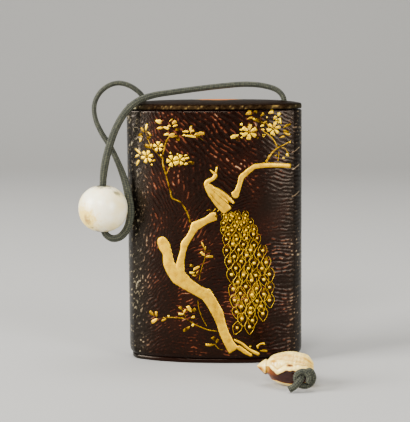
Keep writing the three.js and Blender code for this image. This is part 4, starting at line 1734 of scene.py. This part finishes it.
@dataclass(frozen=True)
class ShellToggle:
    """The snail shell that serves as the toggle: a short spire, a plump whorl and a long mouth.

    Shares are of the length from the tip. An angle of 0 faces -Y and grows downwards, in radians.
    """

    tip: tuple[float, float, float] = (16.45, -39.9, 5.4)
    length: float = 18.1
    turn: float = -3.0
    tip_lift: float = 0.7
    ribs: int = 10
    mouth_depth: float = 0.15
    lip_angle: float = -0.14
    rim_angle: float = 0.88
    bore_radius: float = 1.2
    bore_from_y: float = -50
    bore_to_y: float = -28
    table_gap: float = 0.05
    faces: tuple[int, int] = (150, 200)
    finish: GlossyShell = field(default_factory=GlossyShell)

    def radius(self, share: float) -> float:
        """Finds the radius of the whorls.

        Args:
            share: The share of the shell's length.

        Returns:
            The radius in millimetres.
        """
        spire = 2.5 * min(1.0, share / 0.15) ** 0.8
        swell = 2.85 * math.sin(math.pi * min(1.0, max(0.0, (share - 0.19) / 0.86))) ** 0.62
        suture = 0.35 * math.exp(-(((share - 0.205) / 0.03) ** 2))
        rounding = math.sqrt(1 - 0.7 * (max(0.0, share - 0.82) / 0.18) ** 2)
        return (spire + swell - suture) * rounding

    def lip(self, share: float) -> float:
        """The angle of the upper lip, which hangs down in one wave."""
        wave = 0.32 * math.exp(-(((share - 0.385) / 0.085) ** 2)) - 0.25 * (1 - smooth(0.2, 0.3, share))
        return self.lip_angle + wave + 0.02 * math.sin(share * 55)

    def mouth(self, share: float, angle: float, ease: float) -> float:
        """Finds how far a place lies in the mouth.

        Args:
            share: The share of the shell's length.
            angle: The angle round it.
            ease: How wide the mouth's edges are, in radians.

        Returns:
            A share from 0 outside to 1 inside.
        """
        lip = self.lip(share)
        rim = self.rim_angle + 0.7 * (1 - smooth(0.2, 0.36, share))
        across = smooth(lip, lip + ease, angle) * (1 - smooth(rim - ease, rim, angle))
        return across * smooth(0.12, 0.26, share) * (1 - smooth(0.84, 0.96, share))

    def relief(self, share: float, angle: float) -> float:
        """Finds what the ribs, lip, grooves, slit and knobs add to the radius.

        Args:
            share: The share of the shell's length.
            angle: The angle round it.

        Returns:
            What they add, as a share of the radius.
        """
        body = smooth(0.2, 0.4, share)
        upper = smooth(0.0, -0.5, angle) * smooth(-3.1, -2.6, angle)
        fold = 0.014 * math.cos(26 * angle + 1.5 * math.sin(9 * share)) * smooth(0.35, 0.6, share)
        rib = 0.02 * math.cos(self.ribs * angle)
        lines = 0.006 * math.sin(share * 95 + 2 * math.sin(angle))
        growth = lines + 0.02 * noise.noise(Vector((9 * share, 2 * angle, 0)))
        knob_row = math.exp(-(((share - 0.9) / 0.05) ** 2))
        knobs = 0.06 * knob_row * max(0.0, math.cos(11 * angle + 1)) * upper
        lip = self.lip(share)
        along = smooth(0.16, 0.28, share) * (1 - smooth(0.9, 0.98, share))
        roll = 0.045 * along * math.exp(-(((angle - lip + 0.12) / 0.13) ** 2))
        groove = 0.03 * along * math.exp(-(((angle - lip + 0.36) / 0.05) ** 2))
        slit = 0.11 * math.exp(-(((angle + 0.42) / 0.06) ** 2) - ((share - 0.6) / 0.05) ** 2)
        furrows = sum(0.03 * math.exp(-(((angle - line) / 0.06) ** 2)) for line in self.folds(share))
        groove += along * furrows
        rim = 0.03 * along * math.exp(-(((angle - self.rim_angle - 0.05) / 0.09) ** 2))
        return body * (rib + fold * upper) + growth * upper + knobs + roll + rim - groove - slit

    def folds(self, share: float) -> tuple[float, float]:
        """The angles of the two grooves that run along the back."""
        return (-0.76 - 0.12 * math.sin(5 * share), -1.12 - 0.1 * math.sin(4 * share + 1))

    def shade(self, share: float, angle: float) -> float:
        """Finds the "shade": 0 is cream, 0.25 honey, 0.5 amber and 1 the mouth's red-brown.

        Args:
            share: The share of the shell's length.
            angle: The angle round it.

        Returns:
            The "shade" there.
        """
        mouth = self.mouth(share, angle, 0.07)
        deep = 0.42 + 0.38 * smooth(0.22, 0.5, share) + 0.2 * smooth(0.2, 0.8, angle)
        spot = math.exp(-(((share - 0.07) / 0.06) ** 2) - ((angle - 0.35) / 0.5) ** 2)
        # The underside near the spire is darker: partly its brown colour and partly painted shadow.
        under = smooth(0.55, 1.0, angle) * (1 - smooth(2.2, 2.8, angle)) * (1 - smooth(0.16, 0.26, share))
        slit = math.exp(-(((angle + 0.42) / 0.05) ** 2) - ((share - 0.6) / 0.045) ** 2)
        groove = math.exp(-(((angle - self.lip(share) + 0.36) / 0.05) ** 2)) * smooth(0.2, 0.3, share)
        tan = math.exp(-(((share - 0.3) / 0.06) ** 2) - ((angle + 0.75) / 0.2) ** 2)
        fold = sum(math.exp(-(((angle - line) / 0.15) ** 2)) for line in self.folds(share))
        fold *= smooth(0.24, 0.34, share)
        return max(
            mouth * deep, 0.45 * spot, 0.75 * under, 0.9 * slit, 0.14 * groove, 0.2 * tan, 0.12 * fold,
        )

    def build(self) -> bpy.types.Object:
        """Makes the shell and drills it for the cord.

        Returns:
            The shell.
        """
        turned = Matrix.Rotation(math.radians(self.turn), 4, "Z")

        def place(u: float, v: float) -> Vector:
            """Finds a corner of the shell.

            Args:
                u: Share of its length.
                v: Share of a turn around it.

            Returns:
                Its place in millimetres.
            """
            share, angle = u, TURN * (v - 0.5)
            reach = 0.0
            if 0 < share < 1:
                slot = self.mouth_depth * self.mouth(share, angle, 0.2)
                reach = self.radius(share) * (1 + self.relief(share, angle) - slot)
            lift = self.tip_lift * (1 - share) ** 2
            along = share * self.length
            point = Vector((along, -reach * math.cos(angle), lift - reach * math.sin(angle)))
            point = turned @ point + Vector(self.tip)
            return Vector((point.x, point.y, max(self.table_gap, point.z)))

        mesh = closed_grid(*self.faces, place, lambda u, v: self.shade(u, TURN * (v - 0.5)))
        piece = object_of("shell", mesh, self.finish.material("glossy_shell"))
        x, _, z = (value / MM for value in TAIL_ROUTE[-1])
        drilled(piece, [rod((x, self.bore_from_y, z), (x, self.bore_to_y, z), self.bore_radius)])
        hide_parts("shell_toggle")
        return piece


@dataclass(frozen=True)
class EndKnot:
    """A turn and a quarter of cord at the toggle's mouth, with the cut end drawn out through it.

    The turn narrows and slides sideways from its outer to its inner centre. Angles are in degrees.
    """

    start_angle: float = 60
    sweep: float = 460
    advance: float = 1.4
    y: float = -46.9
    z: float = 4.2
    outer: tuple[float, float] = (31.9, 2.6)
    inner: tuple[float, float] = (30.9, 2.1)
    thickness: float = 1.12
    turn_steps: int = 16
    cord: BraidedCord = field(default_factory=BraidedCord)

    def turn_route(self) -> list[Vector]:
        """Works out the turn, from the toggle's bore.

        Returns:
            Its middle line in millimetres.
        """
        x, y, z = (value / MM for value in TAIL_ROUTE[-1])
        points = [(x, y - 0.3, z), (x, y - 0.9, z), (x + 1, y - 1.17, z + 1)]
        for i in range(self.turn_steps + 1):
            share = i / self.turn_steps
            angle = math.radians(self.start_angle - share * self.sweep)
            middle = self.outer[0] + (self.inner[0] - self.outer[0]) * share
            radius = self.outer[1] + (self.inner[1] - self.outer[1]) * share
            points.append((
                middle + radius * math.cos(angle), self.y - share * self.advance,
                self.z + radius * math.sin(angle),
            ))
        return even_steps(smooth_route(points, 16), self.cord.step)

    def build(self) -> bpy.types.Object:
        """Sweeps the braid along the turn and the cut end.

        Returns:
            The knot.
        """
        cut_end = [[value / MM for value in point] for point in CUT_END_ROUTE]
        widths = ((0, 1), (0.12, self.thickness), (0.9, self.thickness), (1, 1))
        mesh = self.cord.tube(self.turn_route(), widths)
        cut_route = even_steps(smooth_route(cut_end, 16), self.cord.step)
        other = self.cord.tube(cut_route, CUT_END_WIDTHS)
        spare = bpy.data.meshes.new("cut_end")
        other.to_mesh(spare)
        other.free()
        mesh.from_mesh(spare)
        bpy.data.meshes.remove(spare)
        piece = object_of("knot", mesh, self.cord.finish.material("knot_braid"))
        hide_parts("end_knot")
        return piece


# ---------------------------------------------------------------- studio


@dataclass(frozen=True)
class Studio:
    """A pale sweep, soft lights and the camera, all in metres."""

    camera_at: tuple[float, float, float] = (0.0354, -0.4421, 0.1025)
    heading: float = 5.0
    pitch: float = 6.6
    roll: float = -0.45
    lens: float = 113.2
    aim_height: float = 0.05
    floor: str = "#9d9b96"
    floor_width: float = 6.0
    floor_front: float = -3.0
    floor_back: float = 1.4
    floor_rise: float = 1.6
    floor_bend: float = 0.6
    lamps: tuple[tuple[str, tuple[float, float, float], tuple[float, float], float], ...] = (
        ("left", (-1.05, -0.5, 0.5), (0.6, 0.8), 52), ("right", (0.85, -0.75, 0.36), (0.4, 0.6), 16),
        ("front", (-0.2, -1.0, 0.72), (0.35, 0.25), 13), ("top", (0.0, 0.15, 1.1), (0.9, 0.6), 14),
    )
    sky: str = "#d8d8d8"
    sky_strength: float = 0.12

    def camera(self) -> None:
        """Places the camera just above the case's top, looking slightly down."""
        data = bpy.data.cameras.new("camera")
        data.sensor_fit = "HORIZONTAL"
        data.sensor_width = 36
        data.lens = self.lens
        data.clip_start = 0.01
        camera = bpy.data.objects.new("camera", data)
        bpy.context.scene.collection.objects.link(camera)
        turn = (
            Matrix.Rotation(math.radians(self.heading), 4, "Z")
            @ Matrix.Rotation(math.radians(90 - self.pitch), 4, "X")
            @ Matrix.Rotation(math.radians(self.roll), 4, "Z")
        )
        camera.matrix_world = Matrix.Translation(self.camera_at) @ turn
        bpy.context.scene.camera = camera

    def light(
        self, name: str, place: Sequence[float], size: tuple[float, float], power: float,
    ) -> None:
        """Adds a soft box that faces the case's middle.

        Args:
            name: The lamp's name.
            place: Where it hangs.
            size: Its width and height.
            power: Its power in watts.
        """
        data = bpy.data.lights.new(name, "AREA")
        data.shape = "RECTANGLE"
        data.size, data.size_y = size
        data.energy = power
        lamp = bpy.data.objects.new(name, data)
        bpy.context.scene.collection.objects.link(lamp)
        lamp.location = place
        aim = Vector((0, 0, self.aim_height)) - Vector(place)
        lamp.rotation_euler = aim.to_track_quat("-Z", "Y").to_euler()

    def build(self) -> None:
        """Makes the floor and the lights."""
        mesh = bmesh.new()
        front, back, bend = self.floor_front, self.floor_back, self.floor_bend

        def place(u: float, v: float) -> Vector:
            """Finds a corner of the sweep, which is flat and then bends up behind the case.

            Args:
                u: Share of its width.
                v: Share of its length.

            Returns:
                Its place in millimetres.
            """
            x = (u - 0.5) * self.floor_width
            run = v * (back - front + self.floor_rise)
            flat = back - front - bend
            if run < flat:
                y, z = front + run, 0.0
            else:
                angle = min(math.pi / 2, (run - flat) / bend)
                y = back - bend + bend * math.sin(angle)
                z = bend * (1 - math.cos(angle)) + max(0.0, run - flat - bend * math.pi / 2)
            return Vector((x, y, z)) / MM

        add_grid(mesh, 4, 60, place)
        floor = new_object("floor", mesh)
        material, *_ = new_material("pale_paper", {"Base Color": linear(self.floor), "Roughness": 0.9})
        floor.data.materials.append(material)
        floor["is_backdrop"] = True
        for lamp in self.lamps:
            self.light(*lamp)
        world = bpy.data.worlds.new("studio")
        world.use_nodes = True
        background = world.node_tree.nodes["Background"]
        background.inputs["Color"].default_value = linear(self.sky)
        background.inputs["Strength"].default_value = self.sky_strength
        bpy.context.scene.world = world


# ---------------------------------------------------------------- assembly


def main() -> None:
    """Builds every piece in order."""
    studio = Studio()
    studio.camera()
    braid = BraidedCord()
    bead_low, bead_high = (Vector(corner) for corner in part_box("bead"))
    bead = Bead((bead_low + bead_high) / 2).build()
    braid.cord(
        "braided_cord", "carrying_cord", CARRYING_ROUTE, CARRYING_WIDTHS, Vector((0, 1, 0)),
        exit=(0.024, 0.0, 0.0887), far_end="object", lay="hanging", with_pieces=[bead],
    )
    shell = ShellToggle().build()
    knot = EndKnot().build()
    braid.cord(
        "braided_tail", "tail_cord", TAIL_ROUTE, TAIL_WIDTHS, Vector((0, 0, 1)),
        exit=(0.024, -0.0079, 0.0012), far_end="knot", lay="loose", with_pieces=[shell, knot],
    )
    case_top, lid_top = Vector(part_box("case_body")[1]) / MM, Vector(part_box("lid")[1]) / MM
    form = CaseForm(half_width=case_top.x, half_depth=case_top.y)
    LacquerCase(form, seam=case_top.z, crest=lid_top.z).build()
    GoldPicture(form).build()
    studio.build()
    dressed_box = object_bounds()
    sizes = {
        name: [[float(value) for value in corner] for corner in box]
        for name, box in (("cad", cad_box), ("visual", dressed_box))
    }


if __name__ == "__main__":
    main()
